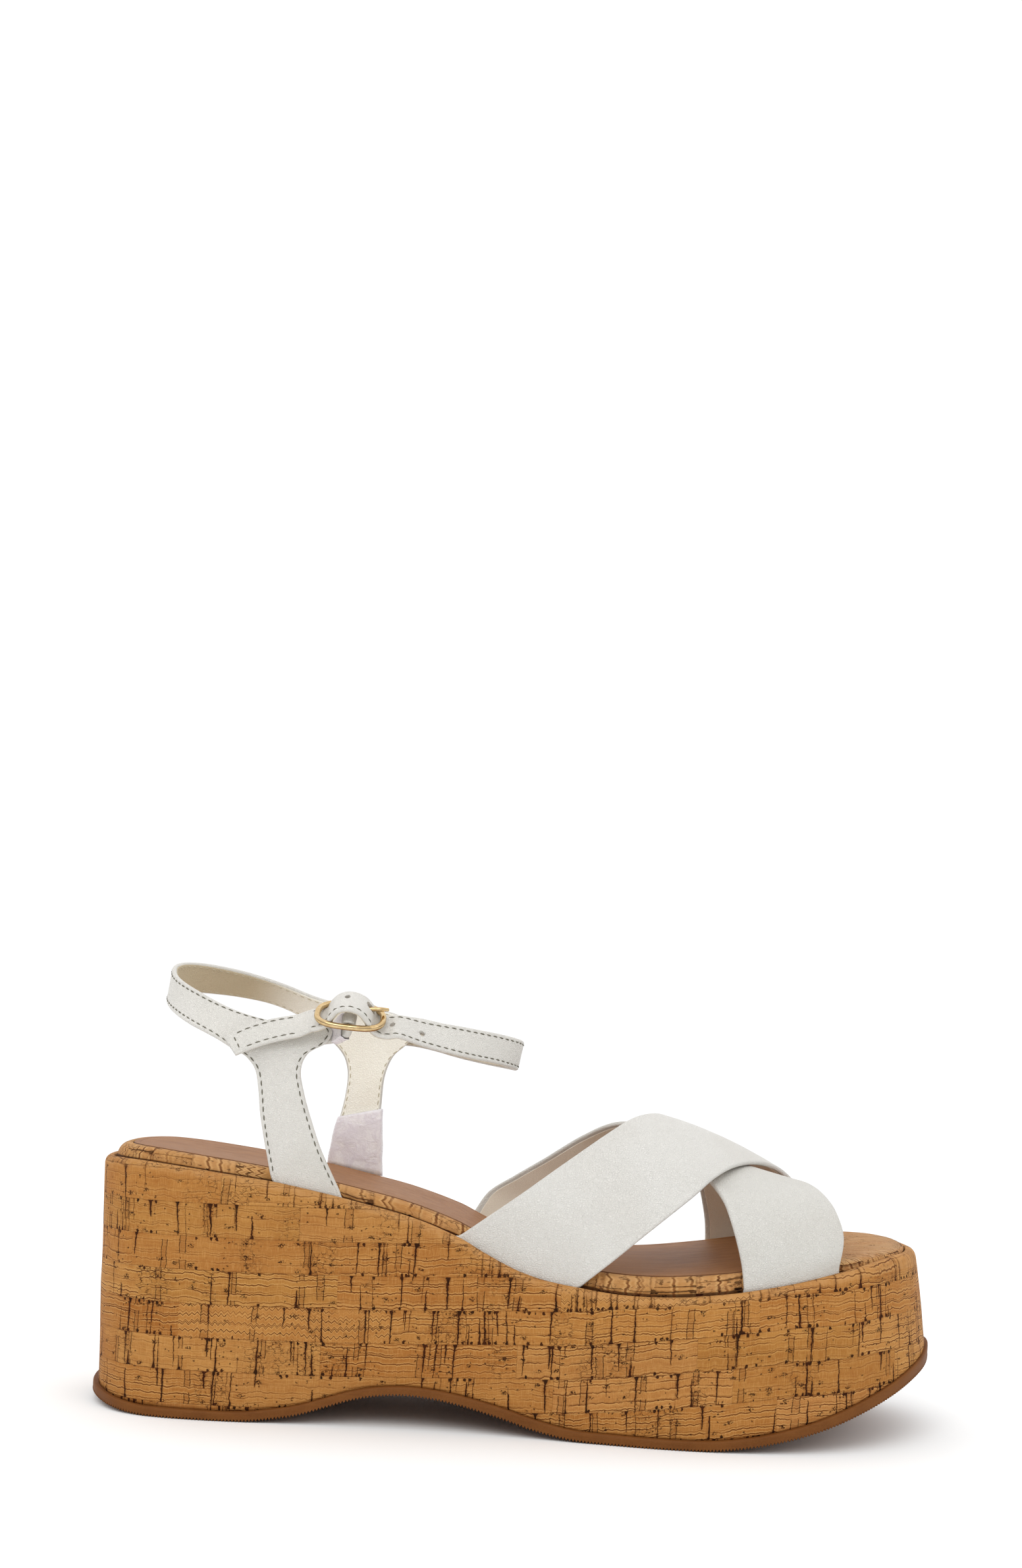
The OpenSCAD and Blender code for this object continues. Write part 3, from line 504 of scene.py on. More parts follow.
    # colour
    tone = M.ramp(br, [(0.0, lin(172, 114, 58)), (0.28, lin(207, 157, 98)), (0.5, lin(184, 128, 72)), (0.72, lin(221, 177, 120)), (1.0, lin(196, 146, 96))])
    tone = M.mix(0.15, tone, lin(202, 154, 98))
    tone = M.mix(M.mul(M.ss(bb, 0.6, 1.0), 0.4), tone, lin(212, 158, 116))
    tone = M.mix(M.mul(M.ss(bg, 0.6, 1.0), 0.4), tone, lin(196, 160, 98))
    col = M.mix(M.ss(low, 0.3, 0.72, 0.0, 0.42), tone, lin(216, 170, 112))
    col = M.mix(M.ss(M.noise(M.comb(M.mul(s0, 0.16), M.mul(r0, 0.2), seed + 31), 1.0, 3, 0.6), 0.42, 0.75, 0.0, 0.4), col, lin(168, 108, 52))
    col = M.mix(M.ss(gfine, 0.35, 0.7, 0.0, 0.34), col, lin(160, 102, 50))
    grain = M.noise(M.comb(M.mul(s0, 1.7), M.mul(r0, 2.6), seed + 17), 1.0, 3, 0.7)
    col = M.mix(M.ss(grain, 0.3, 0.75, 0.0, 0.26), col, lin(150, 96, 46))
    col = M.mix(M.ss(M.noise(M.comb(M.mul(s0, 3.0), M.mul(r0, 0.35), seed + 18), 1.0, 2, 0.6), 0.45, 0.75, 0.0, 0.34), col, lin(232, 192, 140))
    # painted highlight beside the growth lines
    col = M.mix(M.mul(growth_line_painted_highlight, 0.5), col, lin(240, 202, 150))
    if rim_attr:
        rim = M.nd("ShaderNodeAttribute", attribute_name="rim").outputs["Fac"]
        # lighter, pinker cork towards the top edge where rim is above zero: partly worn cork, partly painted highlight
        col = M.mix(M.mul(rim, M.ss(wob, 0.25, 0.7, 0.25, 0.85)), col, lin(216, 176, 136))
        # painted shade: where rim is below zero (the rows tucked into the groove under the rand) the cork is painted
        # near black for the groove's shadow
        col = M.mix(M.ss(rim, -0.95, -0.1, 0.85, 0.0), col, lin(58, 28, 12))
    else:
        rim = None
    halo = M.ma("ADD", M.mul(M.mx(M.mx(h1, h2), h3), 0.36), M.mul(plens, 0.22), clamp=True)
    col = M.mix(halo, col, lin(128, 74, 30))
    col = M.mix(M.mul(gl, 0.84), col, lin(102, 54, 20))
    col = M.mix(M.mul(crl, 0.9), col, lin(74, 36, 14))
    col = M.mix(M.mul(seam, 0.6), col, lin(96, 54, 24))
    col = M.mix(bseam, col, lin(100, 56, 24))
    dark = M.ma("ADD", M.mx(M.mx(c1, M.mul(c2, 0.8)), M.mx(c3, M.mul(pline, 0.78))), M.mx(M.mx(M.mul(spk, 0.85), knot), pit), clamp=True)
    # the rim value also scales the dark marks: fainter on the lighter top edge, stronger in the painted groove shade
    if rim is not None:
        dark = M.mul(dark, M.sub(1.0, M.mul(rim, 0.55)))
    col = M.mix(M.mul(dark, 0.95), col, M.mix(M.ss(wob, 0.35, 0.65), lin(34, 14, 6), lin(62, 26, 12)))
    col = M.mix(1.0, col, gain, "MULTIPLY")
    h = M.sub(M.add(M.mul(grain, 0.22), M.mul(gfine, 0.25)), M.add(M.mul(dark, 1.0), M.add(M.mul(gl, 0.4), M.add(M.mul(seam, 0.45), M.add(M.mul(crl, 0.45), M.mul(bseam, 0.45))))))
    h = M.add(h, M.mul(br, 0.5))
    n = M.bump(h, 0.00022, 0.9)
    return M.set(color=col, rough=M.ss(dark, 0.0, 1.0, 0.66, 0.9), normal=n, spec=0.12)


def leather_material(name, rgb, rgb2, cell=0.62, depth=0.00005, rough=0.5, spec=0.42, warm=None, crease=0.5, tint=None):
    """Coated leather with a fine pebbled grain; object coordinates in millimetres."""
    M = Mat(name)
    p = obj_mm(M)
    warp = M.noise(p, 0.9, 2, 0.6)
    pw = M.nd("ShaderNodeVectorMath", {0: p, 1: M.comb(M.mul(warp, 0.8), M.mul(M.noise(p, 1.1, 2, 0.6), 0.8), M.mul(warp, 0.6))}, operation="ADD").outputs[0]
    v1 = M.vor(vec=pw, scale=1.0 / cell, feature="DISTANCE_TO_EDGE").outputs["Distance"]
    v2 = M.vor(vec=pw, scale=0.42 / cell, feature="DISTANCE_TO_EDGE").outputs["Distance"]
    f1 = M.ss(v1, 0.0, 0.22)
    f2 = M.ss(v2, 0.0, 0.12)
    crs = M.noise(p, 0.22, 4, 0.62)
    micro = M.noise(p, 7.0, 2, 0.6)
    h = M.add(M.mul(f1, 0.62), M.add(M.mul(f2, 0.3), M.add(M.mul(crs, crease), M.mul(micro, 0.22))))
    big = M.noise(p, 0.035, 2, 0.5)
    col = M.mix(M.ss(big, 0.3, 0.7), rgb, rgb2)
    # painted shade: a little darker in the grain valleys
    col = M.mix(M.mul(M.ss(f1, 0.0, 1.0, 1.0, 0.0), 0.12), col, tuple(c * 0.7 for c in rgb2))
    col = M.mix(M.mul(M.ss(crs, 0.45, 0.75), 0.08), col, warm or rgb2)
    if tint is not None:
        k = M.nd("ShaderNodeAttribute", attribute_name="tint").outputs["Fac"]
        col = M.mix(k, col, M.mix(M.ss(big, 0.3, 0.7), tint, tuple(c * 0.93 for c in tint)))
    n = M.bump(h, depth, 0.85)
    return M.set(color=col, rough=M.ss(micro, 0.2, 0.8, rough - 0.05, rough + 0.07), normal=n, spec=spec)


# materials
m_cork = cork_material("cork_strips", seed=1.0)
m_rand = cork_material("cork_rand", pitch=5.6, z0=-0.6, block=26.0, seed=4.0, gain=(0.80, 0.72, 0.56))
m_toe = cork_material("cork_toe", pitch=64.0, z0=-32.0, block=70.0, seed=6.0, gain=(0.80, 0.78, 0.72))
m_white = leather_material("white_faux_leather", lin(222, 220, 215), lin(217, 214, 208), depth=0.00018)
# the same white leather made darker for the under vamp strap: painted shade
m_white_shaded_copy = leather_material("white_faux_leather_shaded_copy", lin(214, 212, 206), lin(209, 206, 199), depth=0.00018)
m_white2 = leather_material("white_strap_leather", lin(227, 224, 218), lin(221, 218, 211), cell=0.5, depth=0.00017)
m_lining = leather_material("cream_lining", lin(250, 248, 238), lin(247, 243, 230), cell=0.7, depth=0.00012, rough=0.6, crease=0.9, tint=lin(194, 178, 148))
m_lining2 = leather_material("beige_vamp_lining", lin(238, 229, 214), lin(231, 221, 204), cell=0.45, depth=0.00008, rough=0.68, crease=0.5)


def sock_material():
    M = Mat("tan_sock_leatherette")
    p = obj_mm(M)
    x, y, z = M.sep(p)
    st = M.noise(M.comb(M.mul(x, 0.03), M.mul(y, 0.5), z), 1.0, 4, 0.65)
    st2 = M.noise(M.comb(M.mul(x, 0.15), M.mul(y, 1.6), 3.0), 1.0, 3, 0.6)
    v1 = M.vor(vec=p, scale=2.2, feature="DISTANCE_TO_EDGE").outputs["Distance"]
    f1 = M.ss(v1, 0.0, 0.2)
    big = M.noise(p, 0.03, 3, 0.6)
    col = M.mix(M.ss(st, 0.35, 0.7), lin(160, 112, 70), lin(140, 92, 52))
    col = M.mix(M.ss(st2, 0.45, 0.8, 0, 0.35), col, lin(182, 134, 92))
    col = M.mix(M.ss(big, 0.45, 0.75, 0, 0.35), col, lin(136, 88, 50))
    # painted shade: darker in the grain valleys at the cell edges
    col = M.mix(M.mul(M.ss(f1, 0, 1, 1, 0), 0.2), col, lin(104, 64, 34))
    h = M.add(M.mul(f1, 0.5), M.add(M.mul(st2, 0.4), M.mul(M.noise(p, 5.0, 2, 0.6), 0.3)))
    return M.set(color=col, rough=M.ss(st2, 0.2, 0.8, 0.46, 0.6), normal=M.bump(h, 0.00007, 0.7), spec=0.2)


def edge_material():
    M = Mat("sock_edge_paint")
    p = obj_mm(M)
    n = M.noise(p, 1.2, 3, 0.6)
    return M.set(color=M.mix(n, lin(70, 38, 18), lin(104, 62, 32)), rough=0.55, normal=M.bump(n, 0.00008, 0.5), spec=0.3)


def rubber_material():
    M = Mat("brown_rubber")
    p = obj_mm(M)
    x, y, z = M.sep(p)
    a = M.noise(p, 0.08, 3, 0.6)
    b = M.noise(p, 2.2, 3, 0.65)
    c = M.noise(M.comb(M.mul(x, 0.1), M.mul(y, 0.1), M.mul(z, 3.0)), 1.0, 2, 0.5)
    col = M.mix(M.ss(a, 0.3, 0.7), lin(118, 72, 31), lin(107, 63, 25))
    col = M.mix(M.ss(b, 0.4, 0.8, 0, 0.3), col, lin(136, 90, 48))
    col = M.mix(M.ss(c, 0.5, 0.8, 0, 0.3), col, lin(88, 50, 20))
    return M.set(color=col, rough=M.ss(b, 0.2, 0.8, 0.5, 0.66), normal=M.bump(M.add(b, M.mul(c, 0.5)), 0.00007, 0.6), spec=0.14)


def gold_material():
    M = Mat("polished_light_gold")
    p = obj_mm(M)
    a = M.noise(p, 0.6, 3, 0.6)
    b = M.noise(p, 8.0, 2, 0.6)
    col = M.mix(M.ss(a, 0.3, 0.7), (0.66, 0.49, 0.27), (0.54, 0.38, 0.19))
    return M.set(color=col, metal=1.0, rough=M.ss(a, 0.2, 0.8, 0.06, 0.13), normal=M.bump(M.add(M.mul(a, 1.0), M.mul(b, 0.06)), 0.00002, 0.5))


def film_material():
    M = Mat("protective_film")
    p = obj_mm(M)
    a = M.noise(p, 0.25, 4, 0.6, dist=1.2)
    b = M.noise(p, 1.1, 3, 0.6, dist=0.8)
    col = M.mix(M.ss(a, 0.3, 0.7), lin(251, 247, 249), lin(236, 229, 236))
    return M.set(color=col, rough=M.ss(b, 0.2, 0.8, 0.22, 0.4), normal=M.bump(M.add(a, M.mul(b, 0.4)), 0.0006, 0.5), spec=0.6, alpha=0.86)


def thread_material(name, c1, c2):
    M = Mat(name)
    p = obj_mm(M)
    x, y, z = M.sep(p)
    tw = M.ma("SINE", M.mul(M.add(M.add(x, y), z), 14.0))
    n = M.noise(p, 3.0, 2, 0.6)
    return M.set(color=M.mix(n, c1, c2), rough=0.7, normal=M.bump(M.add(tw, n), 0.00004, 0.6), spec=0.3)


def plain_material(name, c1, c2, scale, rough, depth, vor=False):
    M = Mat(name)
    p = obj_mm(M)
    n = M.noise(p, scale, 4, 0.6)
    if vor:
        v = M.vor(vec=p, scale=1.6).outputs["Distance"]
        n = M.add(M.mul(v, 0.9), M.mul(n, 0.4))
    return M.set(color=M.mix(M.ss(n, 0.3, 0.7), c1, c2), rough=rough, normal=M.bump(n, depth, 0.6))


m_sock, m_edge, m_rubber, m_gold, m_film = sock_material(), edge_material(), rubber_material(), gold_material(), film_material()
m_thread = thread_material("khaki_thread", lin(112, 108, 92), lin(92, 88, 74))
m_thread2 = thread_material("cream_thread", lin(205, 196, 172), lin(190, 180, 156))
m_dark = thread_material("dark_thread", lin(104, 100, 90), lin(84, 80, 70))
m_foam = plain_material("latex_foam", lin(236, 220, 190), lin(222, 204, 172), 0.5, 0.9, 0.0003, True)
m_eva = plain_material("moulded_eva", lin(222, 214, 198), lin(210, 201, 184), 0.4, 0.8, 0.0002, True)
m_board = plain_material("fibre_board", lin(176, 148, 110), lin(156, 126, 90), 0.9, 0.85, 0.0001)
m_filler = plain_material("ground_cork_filler", lin(160, 118, 76), lin(116, 78, 44), 1.3, 0.9, 0.0002, True)

# ------------------------------------------------------------------ sole: outsole, wedge wall, core
MSEG = 40
START = 29.4          # the veneer joint sits at the inner arch


def build_outsole():
    teeth = 620
    n = teeth * 4
    P, N, s = plan(60, arc=n)
    P = P + N * (0.65 * toe(P[:, 0]) + 1.2 * heel(P[:, 0]))[:, None]
    x = P[:, 0]
    k = np.arange(n) % 4
    saw = np.array([0.8, 0.34, 0.0, 0.34])[k]
    wav = vnoise(np.column_stack([P, np.zeros(n)]), 9, 3) * 0.06
    R = []

    def add(d, top=None, bot=None):
        Q = P + N * (d + 0 * x)[:, None]
        z = zo(Q[:, 0]) + top if top is not None else zb(Q[:, 0]) + bot
        R.append(np.column_stack([Q, z]))

    inner = 1.8
    add(-1.2, top=0.0)
    add(-1.46 + wav, top=-0.13)
    add(-1.6 + wav, top=-0.45)
    add(-1.64 + wav, top=-1.0)
    add(-1.63 + wav, bot=1.35)
    add(-1.6 + wav, bot=0.95)
    add(-1.6 + wav, bot=0.5 + saw * 0.55)
    add(-1.58 + wav - (0.8 - saw) * 0.14, bot=0.12 + saw)
    add(-1.4 + wav, bot=0.0 + saw)
    add(-0.6 + 0 * x, bot=0.0 + saw)
    add(-0.1 + 0 * x, bot=0.3 + saw * 0.5)
    add(inner + 0 * x, bot=0.62)
    V = np.concatenate(R)
    m = len(R)
    F = []
    for a in range(m - 1):
        i = np.arange(n); j = (i + 1) % n
        F.append(np.stack([a*n+i, a*n+j, (a+1)*n+j, (a+1)*n+i], 1))
    # underside: chords across the foot with shallow ribs, and a plain top under the wedge
    M = 26
    h = n // 2
    ii = np.arange(1, h)
    A = P[ii] + N[ii] * inner
    B = P[n - ii] + N[n - ii] * inner
    u = np.linspace(0, 1, M + 1)[1:-1]
    C = A[:, None] * (1 - u)[None, :, None] + B[:, None] * u[None, :, None]
    xs = C[..., 0]
    dist = np.minimum(np.minimum(u, 1 - u)[None, :] * np.linalg.norm(B - A, axis=1)[:, None], np.minimum(ii, h - ii)[:, None] * 0.4)
    rib = 0.5 + 0.5 * np.cos(2 * np.pi * (xs + 1.6 * np.sin(C[..., 1] / 5.5)) / 4.2)
    rib = smooth((rib - 0.35) / 0.3)
    depth = 0.62 - (0.6 - 0.05) * rib * smooth((dist - 3.0) / 1.2)
    Cz = zb(xs) + depth
    base = len(V)
    V = np.concatenate([V, np.concatenate([C, Cz[..., None]], 2).reshape(-1, 3)])
    ring = (m - 1) * n
    cols = M - 1
    idx = base + np.arange((h - 1) * cols).reshape(h - 1, cols)
    full = np.concatenate([(ring + ii)[:, None], idx, (ring + n - ii)[:, None]], 1)
    G = full
    F.append(np.stack([G[:-1, :-1].ravel(), G[1:, :-1].ravel(), G[1:, 1:].ravel(), G[:-1, 1:].ravel()], 1))
    tri = []
    for (v0, rowi) in ((ring + 0, 0), (ring + h, h - 2)):
        r = G[rowi]
        for c in range(M):
            tri.append([v0, r[c], r[c + 1]] if rowi == 0 else [v0, r[c + 1], r[c]])
    # top cap in steps across the foot
    topc = []
    for i in range(1, h - 1):
        topc.append([i, i + 1, n - i - 1, n - i])
    tri += [[0, 1, n - 1], [h - 1, h, h + 1]]
    faces = [f for blk in F for f in blk.tolist()] + tri + [t[::-1] for t in topc]
    ob = make("outsole_rubber", V, faces, m_rubber, rep=("outsole",), slot="rubber_brown")
    import bmesh
    bm = bmesh.new(); bm.from_mesh(ob.data); bmesh.ops.recalc_face_normals(bm, faces=bm.faces); bm.to_mesh(ob.data); bm.free()
    return ob


def build_cork_wall():
    P, N, s = plan(MSEG, start=START)
    n = len(P)
    x = P[:, 0]
    prof = []   # d, e, z array, weight up the wall
    te, he = toe(x), heel(x)
    zs, ds = 1 + 0.85 * te, 1 + 0.4 * te
    Q0 = P + N * (1.2 * he)[:, None]
    Z0 = zo(Q0[:, 0]) + 0.04
    Z1 = zr(x) - 2.2 * zs
    L = 64
    rings, Vc, rim = [], [], []
    for k in range(L + 1):
        t = k / L
        q = P + N * (1.2 * he * (1 - t) + 0.2 * t + ET * t * te - 0.10 * np.sin(np.pi * t))[:, None]
        z = Z0 + (Z1 - Z0) * t
        pt = np.column_stack([q, z])
        w = vnoise(pt, 16, 7) * 0.16 + vnoise(pt, 5, 8) * 0.05
        w *= smooth(t / 0.06) * smooth((1 - t) / 0.08 + 0.25)
        pt[:, :2] -= N * w[:, None]
        rings.append(pt)
        Vc.append(z - rise(x))
        # rim: lighter towards the top of the wall, partly worn cork and partly painted highlight
        rim.append(smooth((z - (zr(x) - 4.0)) / 3.4) * 0.5)
    top = [(0.24, -1.95), (0.32, -1.6), (0.45, -1.2), (0.66, -0.8), (0.95, -0.48), (1.3, -0.24), (1.75, -0.1), (2.2, -0.05), (2.55, -0.1), (2.8, -0.22), (2.96, -0.42), (3.02, -0.8), (3.02, -1.98)]
    last = (0.2, -2.2)
    vv = Vc[-1].copy()
    for d, dz in top:
        dd = 0.2 + (d - 0.2) * ds if d < 2.3 else d + 2.0 * (ds - 1)
        q = P + N * (dd + ET * te)[:, None]
        pt = np.column_stack([q, zr(x) + (dz * zs if d < 2.3 else dz)])
        w = vnoise(pt, 11, 11) * 0.14 * (1 if dz > -1.0 else 0.6)
        pt[:, 2] += w * (1 if dz > -1.9 else 0) * 0.8
        rings.append(pt)
        vv = vv + math.hypot(d - last[0], dz - last[1]); last = (d, dz)
        Vc.append(vv.copy())
        rim.append(np.full(n, 0.9 if dz > -1.3 else 0.7))
    for d, dz in [(2.25, -1.98), (2.25, -0.95), (1.6, -1.12), (1.0, -2.2)]:
        q = P + N * (d + 2.0 * (ds - 1) + ET * te)[:, None]
        rings.append(np.column_stack([q, zr(x) + dz - 0.6 * te])); Vc.append(vv.copy()); rim.append(np.zeros(n))
    q = P + N * (0.8 + 1.2 * he)[:, None]
    rings.append(np.column_stack([q, Z0])); Vc.append(Vc[0].copy()); rim.append(np.zeros(n))
    G = np.stack(rings, 1)                 # n x levels
    m = G.shape[1]
    F, ci, cj = gridf(n, m, True, True)
    VC = np.stack(Vc + [Vc[0]], 1); VC = np.concatenate([VC, VC[:1]])
    uv = np.stack([s[ci], VC[ci, cj]], -1)
    ob = make("cork_wall", G.reshape(-1, 3), F, m_cork, uv=list(uv), rep=("cork_side_wrap",), slot="cork_veneer")
    attr(ob, "rim", np.stack(rim, 1).ravel())
    return ob


STRAPS = {-1: [(53.5, 77.5), (107.0, 147.5), (189.0, 221.0)], 1: [(64.5, 84.5), (109.5, 146.0), (187.0, 226.0)]}


def free_rim(P):
    """1 where no strap leaves the rim, 0 where one does."""
    f = np.ones(len(P))
    x, y = P[:, 0], P[:, 1]
    for s, spans in STRAPS.items():
        for a, b in spans:
            inside = smooth((x - a + 2.2) / 2.2) * smooth((b + 2.2 - x) / 2.2) * (np.sign(y) == s)
            f = f * (1 - inside)
    return f


def build_rand():
    P, N, s = plan(32, start=31.2)
    n = len(P)
    x = P[:, 0]
    te = toe(x)
    fr = free_rim(P)
    out = (1.45 - 0.35 * te) * fr            # bulge that closes the groove beside the rim
    rings, vc, kind = [], [], []
    last = None
    v = np.zeros(n)

    def put(q, z, amp, tag):
        nonlocal last, v
        pt = np.column_stack([q, z])
        nz = (vnoise(pt, 9, 21) * 0.13 + vnoise(pt, 3.2, 22) * 0.05) * amp
        pt[:, :2] -= N * nz[:, None]; pt[:, 2] += nz * 0.4
        if last is not None:
            v = v + np.linalg.norm(pt - last, axis=1)
        last = pt
        rings.append(pt); vc.append(v.copy()); kind.append(tag)

    # outer face: half-round from the groove up and over
    for k in range(15):
        a = k / 14
        w = math.sin(a * math.pi / 2)
        d = 5.12 + 0.34 * a ** 2 + 1.35 * (1 - math.cos(a * math.pi / 2)) - 0.18 * math.sin(math.pi * w)
        q = P + N * (d - out * (1 - a) ** 0.8 + ET * te)[:, None]
        h = zt(q[:, 0]) - zr(q[:, 0]) - 0.07 - 0.3 * te
        put(q, zr(q[:, 0]) - 0.9 + (h + 0.9) * w, 1.0 if k else 0.3, 0)
    # top: a narrow band along the sides, a broad cork toe in front
    for j, (d, dz) in enumerate([(6.95, 0.0), (7.1, 0.01), (7.25, 0.02), (7.4, 0.02), (7.55, 0.03), (7.7, 0.02), (7.85, 0.0), (8.0, -0.05), (8.12, -0.16)]):
        k = KT * min(1.0, (j + 1) / 8.0)
        q = P + N * (d + ET * te)[:, None]
        q[:, 0] -= k * toe(q[:, 0])
        dome = 0.22 * te * math.sin(math.pi * min(1, (j + 1) / 8.0))
        put(q, zt(q[:, 0]) + dz + dome, 0.6 if j < 8 else 0.0, 1)
    for d, dz in [(8.2, -0.4), (8.2, -0.88), (7.2, -0.88), (6.3, -1.7)]:
        q = P + N * (d + ET * te)[:, None]
        q[:, 0] -= KT * toe(q[:, 0])
        put(q, zt(q[:, 0]) + dz, 0.0, 2)
    for d, dz, k in [(6.18, 0.85, KT), (6.15, 0.79, 19), (6.12, 0.73, 10), (6.08, 0.67, 0), (6.08, -0.55, 0)]:
        q = P + N * (d + ET * te)[:, None]
        q[:, 0] -= k * toe(q[:, 0])
        put(q, zr(q[:, 0]) + dz, 0.0, 2)
    G = np.stack(rings, 1); m = G.shape[1]
    F, ci, cj = gridf(n, m, True, True)
    VC = np.stack(vc + [vc[-1] + 0.9], 1); VC = np.concatenate([VC, VC[:1]])
    kind = np.array(kind)
    # the strip's grain lies along the rand, so U runs across it; the toe is one flat piece
    uv = np.stack([VC[ci, cj] * 1.0 + 40.0, s[ci] * 0.42], -1)
    fx = G[F % (n * m) // m, F % m][..., 0].mean(1)
    toeface = (fx > 205) & (cj[:, 0] >= 7) & (cj[:, 0] < 24)
    gp = G.reshape(-1, 3)[F]
    uv[toeface] = np.stack([gp[toeface][..., 0] * 1.0 + 11.0, gp[toeface][..., 1] + 0.22 * (gp[toeface][..., 0] - 236) ** 2 / 18.0 * np.sign(gp[toeface][..., 1])], -1)
    ob = make("cork_rand", G.reshape(-1, 3), F, [m_rand, m_toe], uv=list(uv), mi=toeface.astype(int), rep=("footbed_cork_rand",), slot="cork_veneer")
    # rim 0.4 and 0.7 lighten the upper rand: partly worn cork, partly painted highlight
    rim = np.zeros((n, m)); rim[:, 3:24] = 0.4; rim[:, 9:16] = 0.7; rim[:, :3] = -1.0
    # the -1.0 rows at the foot of the rand's outer face carry the painted groove shade
    attr(ob, "rim", rim.ravel())
    return ob


def cap_grid(P, N, d, e, M, kk=0.0):
    """Chord grid across the foot at inset d, with each point's distance from the edge, from which the caller takes the
    height.
    """
    n = len(P); h = n // 2
    E = P + N * (d + e * toe(P[:, 0]))[:, None]
    E[:, 0] -= kk * toe(E[:, 0])
    ii = np.arange(1, h)
    A, B = E[ii], E[n - ii]
    u = 0.5 - 0.5 * np.cos(np.linspace(0, np.pi, M + 1)[1:-1])
    C = A[:, None] * (1 - u)[None, :, None] + B[:, None] * u[None, :, None]
    D = np.min(np.linalg.norm(C.reshape(-1, 1, 2) - E[None, ::6], axis=2), axis=1).reshape(C.shape[:2])
    return E, ii, C, D


def loft_piece(name, levels, top, bottom, mats, M=30, m=14, mi_side=None, back=0.0, **kw):
    """Closed piece from stacked rings (d, e, z function) with chord-grid caps; top and bottom give z from (x, y, distance from the edge)."""
    P, N, s = plan(m)
    n = len(P); h = n // 2
    x = P[:, 0]
    rings = [ringpts(P, N, d, e, zf, back) for d, e, zf in levels]
    V = [np.concatenate(rings)]
    F, MI = [], []
    for a in range(len(rings) - 1):
        i = np.arange(n); j = (i + 1) % n
        F += np.stack([a*n+i, a*n+j, (a+1)*n+j, (a+1)*n+i], 1).tolist()
        MI += [(mi_side[a] if mi_side else 0)] * n
    base = n * len(rings)
    for which, (lev, zf) in enumerate(((0, bottom), (len(rings) - 1, top))):
        d, e, _ = levels[lev]
        E, ii, C, D = cap_grid(P, N, d, e, M, back)
        z = zf(C[..., 0], C[..., 1], D)
        V.append(np.concatenate([C, z[..., None]], 2).reshape(-1, 3))
        cols = M - 1
        idx = base + np.arange((h - 1) * cols).reshape(h - 1, cols)
        base += (h - 1) * cols
        r0 = lev * n
        G = np.concatenate([(r0 + ii)[:, None], idx, (r0 + n - ii)[:, None]], 1)
        q = np.stack([G[:-1, :-1].ravel(), G[1:, :-1].ravel(), G[1:, 1:].ravel(), G[:-1, 1:].ravel()], 1)
        tr = [[r0, G[0][c], G[0][c + 1]] for c in range(M)] + [[r0 + h, G[-1][c + 1], G[-1][c]] for c in range(M)]
        if which == 0:
            F += q[:, ::-1].tolist() + [t[::-1] for t in tr]
        else:
            F += q.tolist() + tr
        MI += [0] * (len(q) + len(tr))
    V = np.concatenate(V)
    ob = make(name, V, F, mats, mi=MI, **kw)
    import bmesh
    bm = bmesh.new(); bm.from_mesh(ob.data); bmesh.ops.recalc_face_normals(bm, faces=bm.faces); bm.to_mesh(ob.data); bm.free()
    return ob


def foot_dish(x, y, D):
    """Moulded footbed top: a shallow heel seat, a small rise at the arch and a soft ball seat."""
    z = zt(x)
    cup = -0.75 * np.exp(-(((x - 42) / 26) ** 2 + (y / 15) ** 2))
    ball = -0.45 * np.exp(-(((x - 188) / 24) ** 2 + ((y - 2) / 24) ** 2))
    arch = 0.35 * np.exp(-(((x - 108) / 24) ** 2 + ((y - 14) / 9) ** 2))
    P = np.stack([x, y, z * 0], -1)
    return z + (cup + ball + arch) * smooth(D / 9) + vnoise(P, 14, 31) * 0.07 * smooth(D / 4)


def build_footbed():
    t = lambda dz: (lambda x: zt(x) + dz)
    r = lambda dz: (lambda x: zr(x) + dz)
    sock = loft_piece("sock_leatherette", [(8.7, ET, t(-0.88)), (8.36, ET, t(-0.86)), (8.32, ET, t(-0.5)), (8.32, ET, t(-0.2)), (8.4, ET, t(0.0)), (8.52, ET, t(0.12)), (8.72, ET, t(0.2)), (9.0, ET, t(0.2)), (9.5, ET, t(0.12)), (10.2, ET, t(0.05))],
                      lambda x, y, D: foot_dish(x, y, D) + 0.04, lambda x, y, D: zt(x) - 0.88, [m_sock, m_edge], M=34, m=20, mi_side=[1, 1, 1, 1, 1, 0, 0, 0, 0], back=KT, rep=("sock_lining",), slot="sock_leatherette")
    cush = loft_piece("footbed_foam", [(6.6, ET, r(0.62)), (6.32, ET, r(0.8)), (6.28, ET, r(1.1)), (6.35, ET, lambda x: (zr(x) + zt(x)) / 2 - 0.2), (6.7, ET, t(-1.75)), (7.3, ET, t(-1.2)), (8.2, ET, t(-0.98))],
                      lambda x, y, D: foot_dish(x, y, D) - 0.96, lambda x, y, D: zr(x) + 0.62, m_foam, M=20, m=10, back=KT, rep=("footbed_cushion",), slot="foam_cushion")
    return sock, cush


# ------------------------------------------------------------------ straps
def base_row(s, xa, xb, d, dz):
    def f(u):
        x = xa + (xb - xa) * u
        e = d + 4 * toe(x)
        y = tab(LAT, x) + e if s < 0 else tab(MED, x) - e
        return np.stack([x, y, zr(x) + dz], -1)
    return f, abs(xb - xa)


def foot(s, xa, xb, sx):
    return [base_row(s, xa-sx, xb-sx, 13, -1.88), base_row(s, xa-sx, xb-sx, 8, -1.88), base_row(s, xa-sx, xb-sx, 4.7, -1.88),
            base_row(s, xa-sx, xb-sx, 3.7, -1.4), base_row(s, xa-0.5*sx, xb-0.5*sx, 3.2, -0.4), base_row(s, xa+sx, xb+sx, 3.2, 1.6)]


